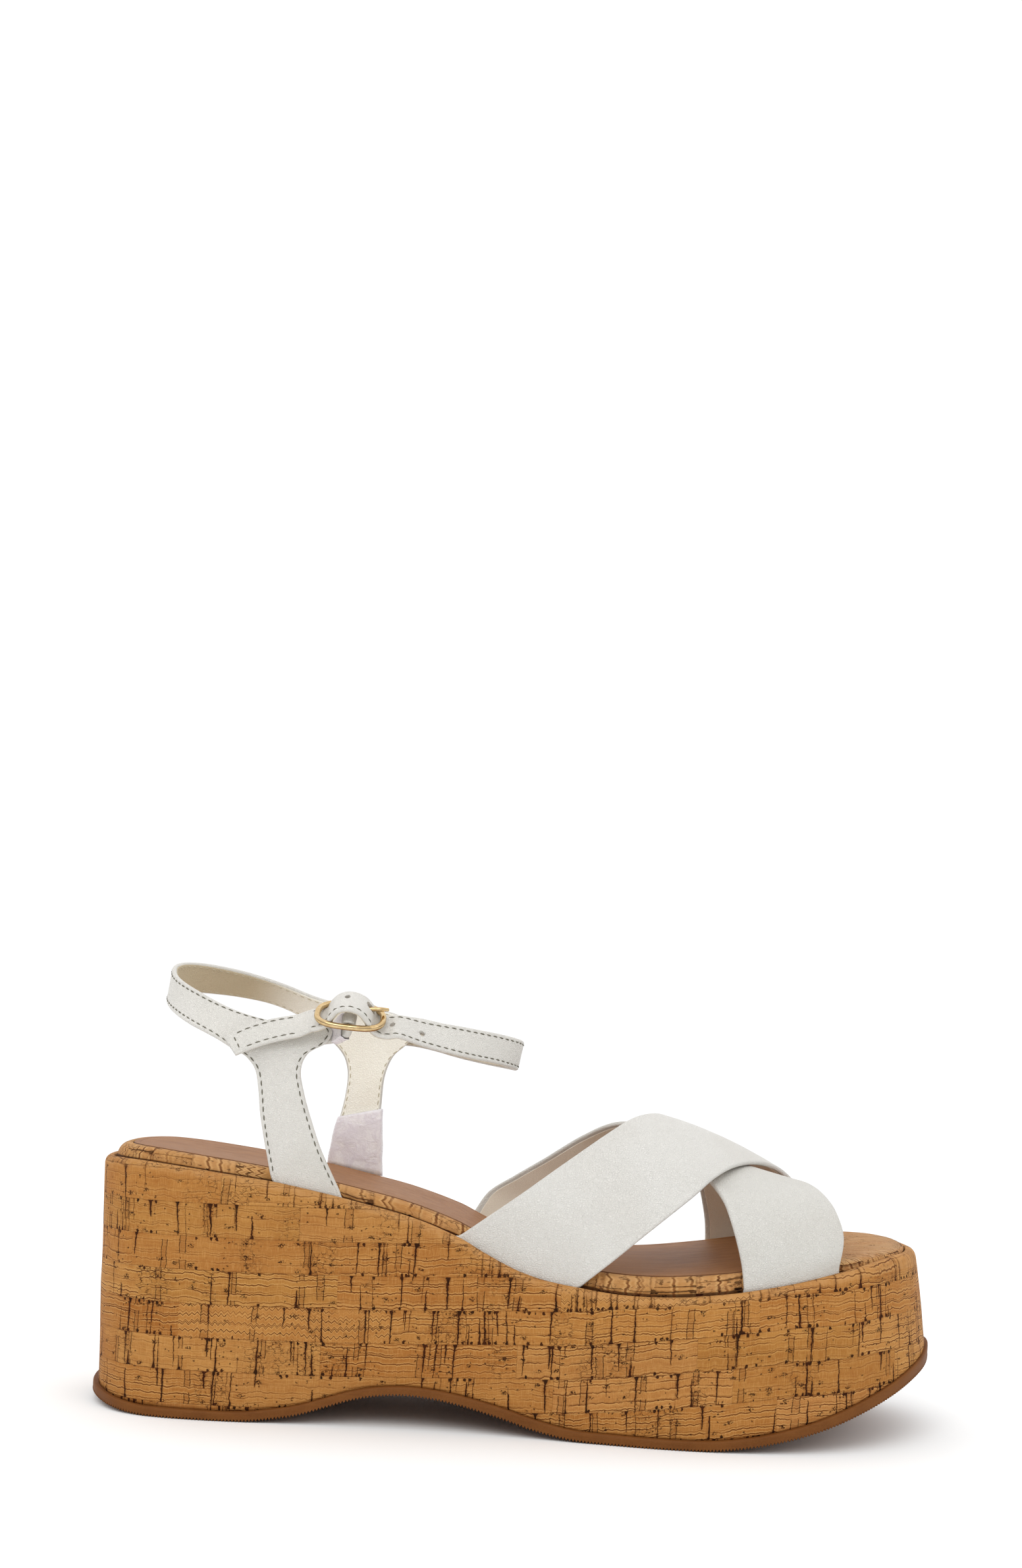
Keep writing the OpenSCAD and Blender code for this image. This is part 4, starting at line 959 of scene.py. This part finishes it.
def line_row(A, B, c=0.0, v=(0, 0, 1)):
    A, B, v = np.array(A, float), np.array(B, float), unit(v)
    return (lambda u: A + (B - A) * u[..., None] + v * (c * 4 * u * (1 - u))[..., None]), float(np.linalg.norm(B - A))


def rows_over():
    return foot(-1, 109.5, 145, 1.4) + [line_row(*r) for r in OV] + foot(1, 189, 223.6, 0)[::-1]


def rows_under():
    return foot(-1, 190.5, 218.6, 0) + [line_row(*r) for r in UN] + foot(1, 111.5, 144, 1.2)[::-1]


def rows_quarter():
    return foot(-1, 55.4, 75.4, -0.6) + [line_row(*r) for r in QU] + foot(1, 66, 82.6, 0.5)[::-1]


def rows_ankle():
    return [line_row(*r) for r in FS] + [line_row(bk(r[0], r[1], r[2]), bk(r[0], r[3], r[4])) for r in FB] + [line_row(HP + HN * 0.9 - HA * 4.2, HP + HN * 0.9 + HA * 4.2)] + [line_row(*r) for r in TL]


def rows_tab():
    return [line_row(r[1], r[0]) for r in TB] + [line_row(bk(-1, 4.3, -3.2), bk(-1, -4.3, -3.2)), line_row(bk(-1, 4.3, 0), bk(-1, -4.3, 0))]


E_IN = np.array([0, .05, .16, .34, .58, .85, 1.15, 1.42, 1.62, 1.82, 2.05, 2.4])


def dense(rows, m, mid=14, inset=0.0, es=E_IN):
    """Outer-face grid of a strap: fixed steps near both edges, even steps between."""
    out = []
    for f, w in rows:
        k = min(1.0, (w - 2 * inset) / 2 / (es[-1] + 0.6))
        e = es * k + inset
        mids = e[-1] + (w - 2 * e[-1]) * np.arange(1, mid) / mid
        pos = np.concatenate([e, mids, w - e[::-1]])
        out.append(f(pos / w))
    G = cr(np.array(out), m)
    return G


def close_strap(name, G, N, do, di, mats, uvscale=True, **kw):
    """Closed strap solid from an outer grid, depths of the outer and inner faces per column (arrays or grids)."""
    A = G - N * (do if np.ndim(do) == 3 else np.asarray(do)[None, :, None])
    B = G - N * (di if np.ndim(di) == 3 else np.asarray(di)[None, :, None])
    L = np.concatenate([A, B[:, ::-1]], 1)
    nu, nv = L.shape[:2]
    F, ci, cj = gridf(nu, nv, False, True)
    V = L.reshape(-1, 3)
    faces = F.tolist()
    C = nv // 2
    # end caps as quad strips between the faces
    for r in (0, nu - 1):
        b = r * nv
        q = [[b + j, b + j + 1, b + nv - 2 - j, b + nv - 1 - j] for j in range(C - 1)]
        faces += q if r == 0 else [t[::-1] for t in q]
    ob = make(name, V, faces, mats, **kw)
    return ob


def edge_round(e, r, T):
    """Depth of the outer and inner faces of an edge of radius r on a strap of thickness T."""
    d = np.where(e < r, r - np.sqrt(np.maximum(r * r - (r - np.minimum(e, r)) ** 2, 0)), 0.0)
    return d, T - d


def col_depths(es, mid, r, T, groove=None, ridge=None):
    d, i = edge_round(es, r, T)
    if groove:
        c, w, a = groove
        d = d + a * np.exp(-((es - c) / w) ** 2)
    z = np.zeros(mid - 1)
    return np.concatenate([d, z, d[::-1]]), np.concatenate([i, z + T, i[::-1]])


def wrinkle(G, N, amp, size, seed, keep=None):
    w = vnoise(G, size, seed) * amp + vnoise(G, size * 0.35, seed + 1) * amp * 0.3
    if keep is not None:
        w = w * keep
    return G + N * w[..., None]


def stitch_mesh(name, path, nrm, pitch, length, rad, mat, body, start=0.0, stop=0.0, lift=0.06, slot="white_leather"):
    """Running stitches: short sunk capsules along a path (points and outward normals)."""
    s = np.r_[0, np.cumsum(np.linalg.norm(np.diff(path, axis=0), axis=1))]
    cnt = int((s[-1] - start - stop) // pitch)
    V, F = [], []
    K, S = 7, 6
    for k in range(cnt):
        a = start + k * pitch + (pitch - length) / 2
        t = a + length * np.linspace(0, 1, K)
        c = np.stack([np.interp(t, s, path[:, j]) for j in range(3)], 1)
        n = unit(np.stack([np.interp(t, s, nrm[:, j]) for j in range(3)], 1))
        tg = unit(np.gradient(c, axis=0))
        b = unit(np.cross(tg, n))
        u = np.linspace(0, 1, K)
        h = lift + 0.16 * np.sin(np.pi * u) - 0.14
        rr = rad * np.array([0.55, 0.85, 1.0, 1.0, 1.0, 0.85, 0.55])
        skew = 0.10 * (u - 0.5)
        base = len(V) * 1
        for q in range(K):
            o = c[q] + n[q] * h[q] + b[q] * skew[q]
            for w in range(S):
                an = 2 * math.pi * w / S
                V.append(o + (n[q] * math.sin(an) * 0.85 + b[q] * math.cos(an)) * rr[q])
        for q in range(K - 1):
            for w in range(S):
                x1 = base + q * S + w; x2 = base + q * S + (w + 1) % S
                F.append([x1, x2, x2 + S, x1 + S])
        F.append([base + w for w in range(S)][::-1]); F.append([base + (K - 1) * S + w for w in range(S)])
    if not V:
        return None
    ob = make(name, V, F, mat, body=body, slot=slot)
    return ob


def col_path(G, N, j, depth=0.0):
    return G[:, j] - N[:, j] * depth, N[:, j]


def build_vamps():
    es = E_IN
    for nm, rows, rep in (("over", rows_over, "vamp_over"), ("under", rows_under, "vamp_under")):
        mid = 30
        G = dense(rows(), 8, mid, 0.0, es)
        N = normals(G)
        nu = G.shape[0]
        i = np.arange(nu) / 8.0
        keep = smooth((i - 6) / 2.0) * smooth((nu / 8.0 - 6.5 - i) / 2.0)
        e_w = np.concatenate([es, np.full(mid - 1, 9.0), es[::-1]])
        G = wrinkle(G, N, 0.16, 17, 41 if nm == "over" else 43, keep[:, None] * np.ones(G.shape[1])[None])
        N = normals(G)
        do, di = col_depths(es, mid, 0.72, 1.5, groove=(2.15, 0.3, 0.05))
        # the under strap takes the darker copy of the white leather: painted shade
        close_strap("vamp_%s_leather" % nm, G, N, do, di, m_white if "over" in nm + rep else m_white_shaded_copy, rep=(rep + "_outer",), slot="white_leather")
        # lining: set in from the turned edges
        es2 = np.array([0, .06, .2, .45, .8])
        G2 = dense(rows()[4:-4], 6, 16, 1.5, es2)
        N2 = normals(G2)
        do2, di2 = col_depths(es2, 16, 0.14, 0.3)
        close_strap("vamp_%s_lining_sheet" % nm, G2, N2, do2 + 1.46, di2 + 1.46, m_lining2, rep=(rep + "_lining",), slot="beige_lining")


def build_quarter():
    es = E_IN
    mid = 12
    G = dense(rows_quarter(), 8, mid, 0.0, es)
    N = normals(G)
    nu = G.shape[0]
    i = np.arange(nu) / 8.0
    keep = smooth((i - 6) / 2.0) * smooth((nu / 8.0 - 6.5 - i) / 2.0)
    G = wrinkle(G, N, 0.10, 13, 51, keep[:, None] * np.ones(G.shape[1])[None])
    N = normals(G)
    do, di = col_depths(es, mid, 0.68, 1.45, groove=(1.15, 0.2, 0.12))
    close_strap("quarter_leather", G, N, do, di, m_white2, rep=("quarter_outer",), slot="white_leather")
    es2 = np.array([0, .06, .2, .42, .62, .82, 1.1])
    G2 = dense(rows_quarter()[4:-4], 8, 10, 0.55, es2)
    N2 = normals(G2)
    do2, di2 = col_depths(es2, 10, 0.2, 0.45)
    lob = close_strap("quarter_lining_sheet", G2, N2, do2 + 1.36, di2 + 1.36 + np.zeros(G2.shape[1]), m_lining, rep=("quarter_lining",), slot="beige_lining")
    cen = G2.mean(1)
    tv = smooth((60 - cen[:, 0]) / 22) * smooth((cen[:, 2] - 100) / 8)
    attr(lob, "tint", np.repeat(tv, G2.shape[1] * 2))
    jl, ju = 6, G.shape[1] - 7
    a, b = 6 * 8 - 6, nu - 6 * 8 + 4
    for side, j in (("lower", jl), ("upper", ju)):
        p, n = col_path(G[a:b], N[a:b], j, 0.05)
        stitch_mesh("quarter_stitch_" + side, p, n, 2.5, 1.62, 0.17, m_thread, "shoe")
    for side, j in (("lower", jl), ("upper", ju)):
        p, n = col_path(G[a:b], N[a:b], j, 1.81)
        stitch_mesh("quarter_lining_stitch_" + side, p, -n, 2.5, 1.62, 0.16, m_thread2, "shoe", slot="beige_lining")
    return G, N


def boolean(ob, cutters, op="DIFFERENCE"):
    for c in cutters:
        m = ob.modifiers.new("cut", "BOOLEAN")
        m.operation = op
        m.solver = "EXACT"
        m.object = c
    dg = bpy.context.evaluated_depsgraph_get()
    dg.update()
    me = bpy.data.meshes.new_from_object(ob.evaluated_get(dg))
    ob.modifiers.clear()
    old = ob.data
    ob.data = me
    bpy.data.meshes.remove(old)
    for c in cutters:
        bpy.data.objects.remove(c)


def cyl_obj(c, axis, r, half, seg=28, squash=None):
    """Round (or slotted) punch: a prism about axis, as a cutter."""
    c = (np.asarray(c, float) + SH) / 1000
    ax = unit(axis)
    a = unit(np.cross(ax, [0.3, 0.1, 0.9] if squash is None else squash[0]))
    b = np.cross(ax, a)
    ln = 0 if squash is None else squash[1] / 1000
    V = []
    for s in (-1, 1):
        for k in range(seg):
            t = 2 * math.pi * k / seg
            p = c + ax * s * half / 1000 + (a * math.cos(t) + b * math.sin(t)) * r / 1000
            if ln:
                p = p + b * (ln if math.sin(t) > 0 else -ln)
            V.append(p)
    F = [[k, (k + 1) % seg, seg + (k + 1) % seg, seg + k] for k in range(seg)] + [list(range(seg))[::-1], list(range(seg, 2 * seg))]
    me = bpy.data.meshes.new("cutter")
    me.from_pydata([tuple(p) for p in V], [], F)
    import bmesh
    bm = bmesh.new(); bm.from_mesh(me); bmesh.ops.recalc_face_normals(bm, faces=bm.faces); bm.to_mesh(me); bm.free()
    ob = bpy.data.objects.new("cutter", me)
    sc.collection.objects.link(ob)
    return ob


def punches():
    out = []
    for p, a in (([88.3, -36.4, 114.6], 52), ([96.6, -33.6, 113.0], 38)):
        t = math.radians(90 - a)
        out.append(cyl_obj(p, (0, -math.sin(t), math.cos(t)), 0.8, 3.2))
    out.append(cyl_obj(bk(-1.0, 1.35, 5.0), BN * 1.0 - BU * 0.12, 0.8, 3.4))
    out.append(cyl_obj(bk(5.75, 1.8, 2.25), unit(BU * 0.86 + BN * 0.51), 0.98, 3.1, squash=(BN * 0.86 - BU * 0.51, 1.25)))
    return out


def build_ankle():
    es = E_IN
    mid = 12
    rows = rows_ankle()
    G = dense(rows, 8, mid, 0.0, es)
    N = normals(G)
    nu = G.shape[0]
    i = np.arange(nu) / 8.0
    G = wrinkle(G, N, 0.07, 9, 61, (np.ones(nu)[:, None]) * np.ones(G.shape[1])[None])
    N = normals(G)
    do, di = col_depths(es, mid, 0.66, 1.4, groove=(1.15, 0.2, 0.11))
    ob = close_strap("ankle_strap_leather", G, N, do, di, m_white2, body=None, rep=("ankle_strap_outer", "strap_tail_outer"), slot="white_leather")
    es2 = np.array([0, .06, .2, .42, .62, .82, 1.1])
    G2 = dense(rows, 8, 10, 0.5, es2)
    G2 = G2[2:-2]
    N2 = normals(G2)
    do2, di2 = col_depths(es2, 10, 0.2, 0.42)
    ln = close_strap("ankle_strap_lining_sheet", G2, N2, do2 + 1.33, di2 + 1.33, m_lining, body=None, rep=("ankle_strap_lining", "strap_tail_lining"), slot="beige_lining")
    attr(ln, "tint", np.full(G2.shape[0] * G2.shape[1] * 2, 0.7))
    boolean(ob, punches())
    boolean(ln, punches())
    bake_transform(ob)
    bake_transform(ln)
    nf = (len(FS) + len(FB)) * 8
    jl, ju = 6, G.shape[1] - 7
    for side, j in (("lower", jl), ("upper", ju)):
        if side == "lower":
            p, n = col_path(G[6:nf - 3], N[6:nf - 3], j, 0.05)
            stitch_mesh("ankle_stitch_lower", p, n, 2.5, 1.62, 0.17, m_thread, "shoe")
        else:
            h0, h1 = (len(FS) + 2) * 8, nf - 14
            p, n = col_path(G[6:h0], N[6:h0], j, 0.05)
            stitch_mesh("ankle_stitch_upper", p, n, 2.5, 1.62, 0.17, m_thread, "shoe")
            p, n = col_path(G[h1:nf - 3], N[h1:nf - 3], j, 0.05)
            stitch_mesh("ankle_stitch_upper_end", p, n, 2.5, 1.62, 0.17, m_thread, "shoe")
        p, n = col_path(G[6:nf - 3], N[6:nf - 3], j, 1.74)
        stitch_mesh("ankle_lining_stitch_" + side, p, -n, 2.5, 1.62, 0.15, m_thread2, "shoe", slot="beige_lining")
        p, n = col_path(G[nf + 9:-3], N[nf + 9:-3], j, 0.05)
        stitch_mesh("tail_stitch_" + side, p, n, 2.5, 1.62, 0.17, m_thread, "strap_tail")
    # stitching across the square end
    r = nu - 5
    p, n = G[r, jl:ju + 1] - N[r, jl:ju + 1] * 0.02, N[r, jl:ju + 1]
    stitch_mesh("tail_stitch_end", p, n, 2.3, 1.55, 0.17, m_thread, "strap_tail")


# ------------------------------------------------------------------ buckle
def sweep(name, C, R, mats, seg=16, loop=False, flatten=None, **kw):
    """Tube along the points C with radii R; flatten=(axis, ratio) squeezes the section along an axis."""
    C = np.asarray(C, float)
    n = len(C)
    R = np.broadcast_to(np.asarray(R, float), (n,))
    T = unit((np.roll(C, -1, 0) - np.roll(C, 1, 0)) if loop else np.gradient(C, axis=0))
    ref = BV if abs(T[0] @ BV) < 0.9 else BN
    A = np.empty_like(C)
    a = unit(ref - T[0] * (T[0] @ ref))
    for k in range(n):
        a = unit(a - T[k] * (a @ T[k])); A[k] = a
    if loop:
        b = unit(A[0] - T[-1] * (A[0] @ T[-1]))
        tw = math.atan2(np.cross(A[-1], b) @ T[-1], A[-1] @ b)
        B0 = np.cross(T, A)
        an = tw * np.arange(n) / n
        A = A * np.cos(an)[:, None] + B0 * np.sin(an)[:, None]
    B = np.cross(T, A)
    th = 2 * np.pi * np.arange(seg) / seg
    O = A[:, None] * np.cos(th)[None, :, None] + B[:, None] * np.sin(th)[None, :, None]
    if flatten:
        ax, q = unit(flatten[0]), flatten[1]
        O = O - ax * ((O @ ax) * (1 - q))[..., None]
    V = C[:, None] + O * R[:, None, None]
    F, _, _ = gridf(n, seg, loop, True)
    F = F.tolist()
    if not loop:
        F += [list(range(seg)), [(n - 1) * seg + k for k in range(seg)][::-1]]
    return make(name, V.reshape(-1, 3), F, mats, **kw)


def build_buckle():
    t = np.linspace(0, 2 * np.pi, 2001)[:-1]
    ex = 2 / 2.7
    P = np.stack([9.3 * np.sign(np.cos(t)) * np.abs(np.cos(t)) ** ex, 5.35 * np.sign(np.sin(t)) * np.abs(np.sin(t)) ** ex], 1)
    Q = np.concatenate([P, P[:1]])
    s = np.r_[0, np.cumsum(np.linalg.norm(np.diff(Q, axis=0), axis=1))]
    t = np.arange(200) / 200 * s[-1]
    P = np.stack([np.interp(t, s, Q[:, 0]), np.interp(t, s, Q[:, 1])], 1)
    for _ in range(3):
        P = (np.roll(P, 1, 0) + 2 * P + np.roll(P, -1, 0)) / 4
    tip = math.radians(6)
    C = np.array([bk(u, v * math.cos(tip), -v * math.sin(tip) - 0.35 * (u / 9.3) ** 2) for u, v in P])
    ring = sweep("buckle_ring", C, 0.9, m_gold, seg=24, loop=True, body="buckle_frame", rep=("buckle_frame",), slot="light_gold")
    C = np.array([bk(0, v, -0.09 * v * smooth((abs(v) - 4.3) / 0.9)) for v in np.linspace(-5.3, 5.3, 33)])
    rr = 0.85 + 0.12 * smooth((np.abs(np.linspace(-5.3, 5.3, 33)) - 4.5) / 0.8)
    sweep("buckle_bar", C, rr, m_gold, seg=24, body="buckle_frame", slot="light_gold")
    # prong: wrapped once round the bar, then out over the end of the ring
    pts, rad = [], []
    for k in range(29):
        t = math.radians(-250 + 250 * k / 28)       # from under the bar round the back to the top
        ang = math.radians(-150) - math.radians(250) * (1 - k / 28) * -1
        th = math.radians(330 - 262 * k / 28)
        pts.append(bk(1.36 * math.cos(th), 0.98 + 0.42 * k / 28, 1.36 * math.sin(th)))
        rad.append(0.40)
    tip0 = np.array([1.25, 1.36, 1.12])
    d = np.array([10.3, 2.3, 1.85]) - tip0
    for k in range(1, 31):
        u = k / 30
        q = tip0 + d * u + np.array([0, 0, 0.20 * math.sin(math.pi * u) - 0.12 * u ** 6])
        pts.append(bk(*q)); rad.append(0.42 + 0.22 * smooth(u / 0.25) - 0.12 * smooth((u - 0.75) / 0.25))
    for k, (du, f) in enumerate(((0.18, 0.47), (0.30, 0.36), (0.38, 0.2))):
        q = tip0 + d * (1 + du / np.linalg.norm(d)) + np.array([0, 0, -0.12]); pts.append(bk(*q)); rad.append(f)
    C = np.array(pts)
    Cs = C.copy()
    for _ in range(2):
        Cs[1:-3] = (Cs[:-4] + 2 * Cs[1:-3] + Cs[2:-2]) / 4
    sweep("buckle_prong_bent", Cs, np.array(rad), m_gold, seg=18, body="buckle_prong", rep=("buckle_prong",), slot="light_gold")


def build_tab():
    es = np.array([0, .05, .16, .34, .58, .85, 1.2])
    mid = 10
    G = dense(rows_tab(), 8, mid, 0.0, es)
    N = normals(G)
    do, di = col_depths(es, mid, 0.75, 1.95)
    ob = close_strap("buckle_tab_leather", G, N, do, di, m_white2, rep=("buckle_tab",), slot="white_leather")
    # loop round the bar, in two lugs either side of the prong
    for nm, v0, v1 in (("a", -4.3, 0.15), ("b", 2.4, 4.3)):
        sec = []
        r0, r1, q = 0.95, 1.95, 0.4
        for k in range(9):
            t = math.pi / 2 * k / 8
            sec.append((v0 + q - q * math.cos(t), r1 - q + q * math.sin(t)))
        for k in range(9):
            t = math.pi / 2 * k / 8
            sec.append((v1 - q + q * math.sin(t), r1 - q + q * math.cos(t)))
        sec += [(v1, r0 + 0.15), (v1 - 0.15, r0), (v0 + 0.15, r0), (v0, r0 + 0.15)]
        sec = np.array(sec)
        n = 48
        V = np.array([[bk(r * math.cos(2 * math.pi * k / n), v, r * math.sin(2 * math.pi * k / n)) for v, r in sec] for k in range(n)])
        F, _, _ = gridf(n, len(sec), True, True)
        make("buckle_tab_loop_" + nm, V.reshape(-1, 3), F, m_white2, slot="white_leather")
    cut = cyl_obj(bk(-1.0, 1.27, -0.2), BU, 1.1, 3.2, squash=(BV, 0.9))
    boolean(ob, [cut])
    for k, r in enumerate((5, 13)):
        c = slice(4, G.shape[1] - 4)
        stitch_mesh("tab_keeper_stitch_%d" % k, G[r, c] - N[r, c] * 0.02, N[r, c], 1.15, 0.85, 0.18, m_dark, "shoe")
    return G, N


def build_film(name, G, N, a, b, T, rep, seed, amp=0.35):
    """Wrinkled film wound round a strap between two rows of its grid."""
    nu, nv = G.shape[:2]
    A = G[a:b + 1]; M = N[a:b + 1]
    e = unit(A[:, -1] - A[:, 0])
    loops = []
    for k in range(len(A)):
        top = A[k] + M[k] * 0.30
        bot = A[k, ::-1] - M[k, ::-1] * (T + 0.30)
        L = np.concatenate([[A[k, 0] - e[k] * 0.42 - M[k, 0] * T * 0.5], top, [A[k, -1] + e[k] * 0.42 - M[k, -1] * T * 0.5], bot])
        loops.append(L)
    O = np.array(loops)
    c = O.mean(1, keepdims=True)
    nr = unit(np.cross(np.roll(O, -1, 1) - np.roll(O, 1, 1), np.gradient(O, axis=0)))
    if ((O - c) * nr).sum() < 0:
        nr = -nr
    w = np.abs(vnoise(O, 5.5, seed)) * amp + np.abs(vnoise(O, 2.1, seed + 1)) * amp * 0.45
    out = O + nr * (w + 0.10)[..., None]
    inn = O + nr * (w + 0.02)[..., None]
    V = np.concatenate([out, inn[::-1]])
    F, _, _ = gridf(V.shape[0], V.shape[1], True, True)
    return make(name, V.reshape(-1, 3), F, m_film, rep=rep, slot="film")


build_outsole()
build_cork_wall()
build_rand()
build_footbed()
build_vamps()
QG, QN = build_quarter()
build_ankle()
TG, TN = build_tab()
build_buckle()
build_film("riser_film_wrap", QG, QN, 258, 271, 1.8, ("riser_film",), 71, 0.4)
build_film("buckle_film_wrap", TG, TN, 16, 26, 1.95, ("buckle_film",), 75, 0.22)

for nm, m in (("wedge_core", m_eva), ("insole_board", m_board), ("bottom_filler", m_filler)):
    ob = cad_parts[nm]
    ob.data.materials.clear() if not len(ob.material_slots) else None
    if len(ob.material_slots):
        for sl in ob.material_slots:
            sl.material = m
    else:
        ob.data.materials.append(m)


# ------------------------------------------------------------------ floor, light, camera
def build_stage():
    me = bpy.data.meshes.new("floor")
    me.from_pydata([(-40, -40, 0), (40, -40, 0), (40, 40, 0), (-40, 40, 0)], [], [(0, 1, 2, 3)])
    M = Mat("pale_floor")
    M.set(color=(0.968, 0.98, 0.985), rough=0.9, spec=0.0)
    me.materials.append(M.m)
    ob = bpy.data.objects.new("floor", me)
    sc.collection.objects.link(ob)


def area(name, loc, target, size, power, color=(1, 1, 1)):
    L = bpy.data.lights.new(name, "AREA")
    L.shape = "RECTANGLE"; L.size, L.size_y = size
    L.energy = power; L.color = color
    o = bpy.data.objects.new(name, L)
    o.location = loc
    o.rotation_mode = "QUATERNION"
    o.rotation_quaternion = (Vector(target) - Vector(loc)).to_track_quat("-Z", "Y")
    sc.collection.objects.link(o)
    return o


SKY_FRONT, SKY_TOP = 0.55, 1.25
build_stage()
w = bpy.data.worlds.new("studio")
sc.world = w
w.use_nodes = True
wt = w.node_tree
bg = wt.nodes["Background"]
tc = wt.nodes.new("ShaderNodeTexCoord")
sx = wt.nodes.new("ShaderNodeSeparateXYZ")
wt.links.new(tc.outputs["Generated"], sx.inputs[0])


def wramp(sock, a, b, lo, hi):
    n = wt.nodes.new("ShaderNodeMapRange")
    n.interpolation_type = "SMOOTHSTEP"
    wt.links.new(sock, n.inputs[0])
    for k, v in enumerate((a, b, lo, hi)):
        n.inputs[k + 1].default_value = v
    return n.outputs[0]


wy = wramp(sx.outputs[1], -0.35, 0.45, SKY_FRONT, 1.03)
wz = wramp(sx.outputs[2], 0.15, 0.85, 0.0, 1.0)
ws = wramp(sx.outputs[2], 0.02, 0.3, 0.35, 1.0)
wf = wramp(sx.outputs[1], -0.75, -0.35, 1.0, 0.0)
wd = wt.nodes.new("ShaderNodeMix"); wd.data_type = "FLOAT"
wt.links.new(wf, wd.inputs[0]); wt.links.new(ws, wd.inputs[3]); wd.inputs[2].default_value = 1.0
wm = wt.nodes.new("ShaderNodeMath"); wm.operation = "MULTIPLY"
wt.links.new(wy, wm.inputs[0]); wt.links.new(wd.outputs[0], wm.inputs[1])
wy = wm.outputs[0]
wx = wramp(sx.outputs[0], 0.3, 0.95, 1.0, 0.68)
wn = wt.nodes.new("ShaderNodeMath"); wn.operation = "MULTIPLY"
wt.links.new(wy, wn.inputs[0]); wt.links.new(wx, wn.inputs[1])
wy = wn.outputs[0]
mm = wt.nodes.new("ShaderNodeMix"); mm.data_type = "FLOAT"
wt.links.new(wz, mm.inputs[0]); wt.links.new(wy, mm.inputs[2]); mm.inputs[3].default_value = SKY_TOP
wt.links.new(mm.outputs[0], bg.inputs[1])
bg.inputs[0].default_value = (1, 1, 1, 1)
area("key", (-0.35, -1.15, 1.15), (0, 0, 0.05), (0.9, 0.9), 4.9, (1.0, 0.985, 0.96))
area("fill", (0.9, -0.9, 0.7), (0, 0, 0.05), (0.7, 0.7), 1.5, (1.0, 0.99, 0.98))

cam = bpy.data.cameras.new("camera")
cam.sensor_fit = "AUTO"
cam.sensor_width = 36
cam.lens = 36 * 2750 / 2380
cam.shift_x = 0.0
cam.shift_y = (1536 - 1190) / 2380
cam.clip_start, cam.clip_end = 0.02, 100
co = bpy.data.objects.new("camera", cam)
az, roll = math.radians(-0.5), math.radians(2.6)
fw = Vector((-math.sin(az), math.cos(az), 0))
rt = Vector((math.cos(az), math.sin(az), 0))
up = Vector((0, 0, 1))
R = rt * math.cos(roll) + up * math.sin(roll)
U = -rt * math.sin(roll) + up * math.cos(roll)
mt = Matrix((R, U, -fw)).transposed().to_4x4()
mt.translation = Vector((-0.0102, -0.55018, 0.120))
co.matrix_world = mt
sc.collection.objects.link(co)
sc.camera = co
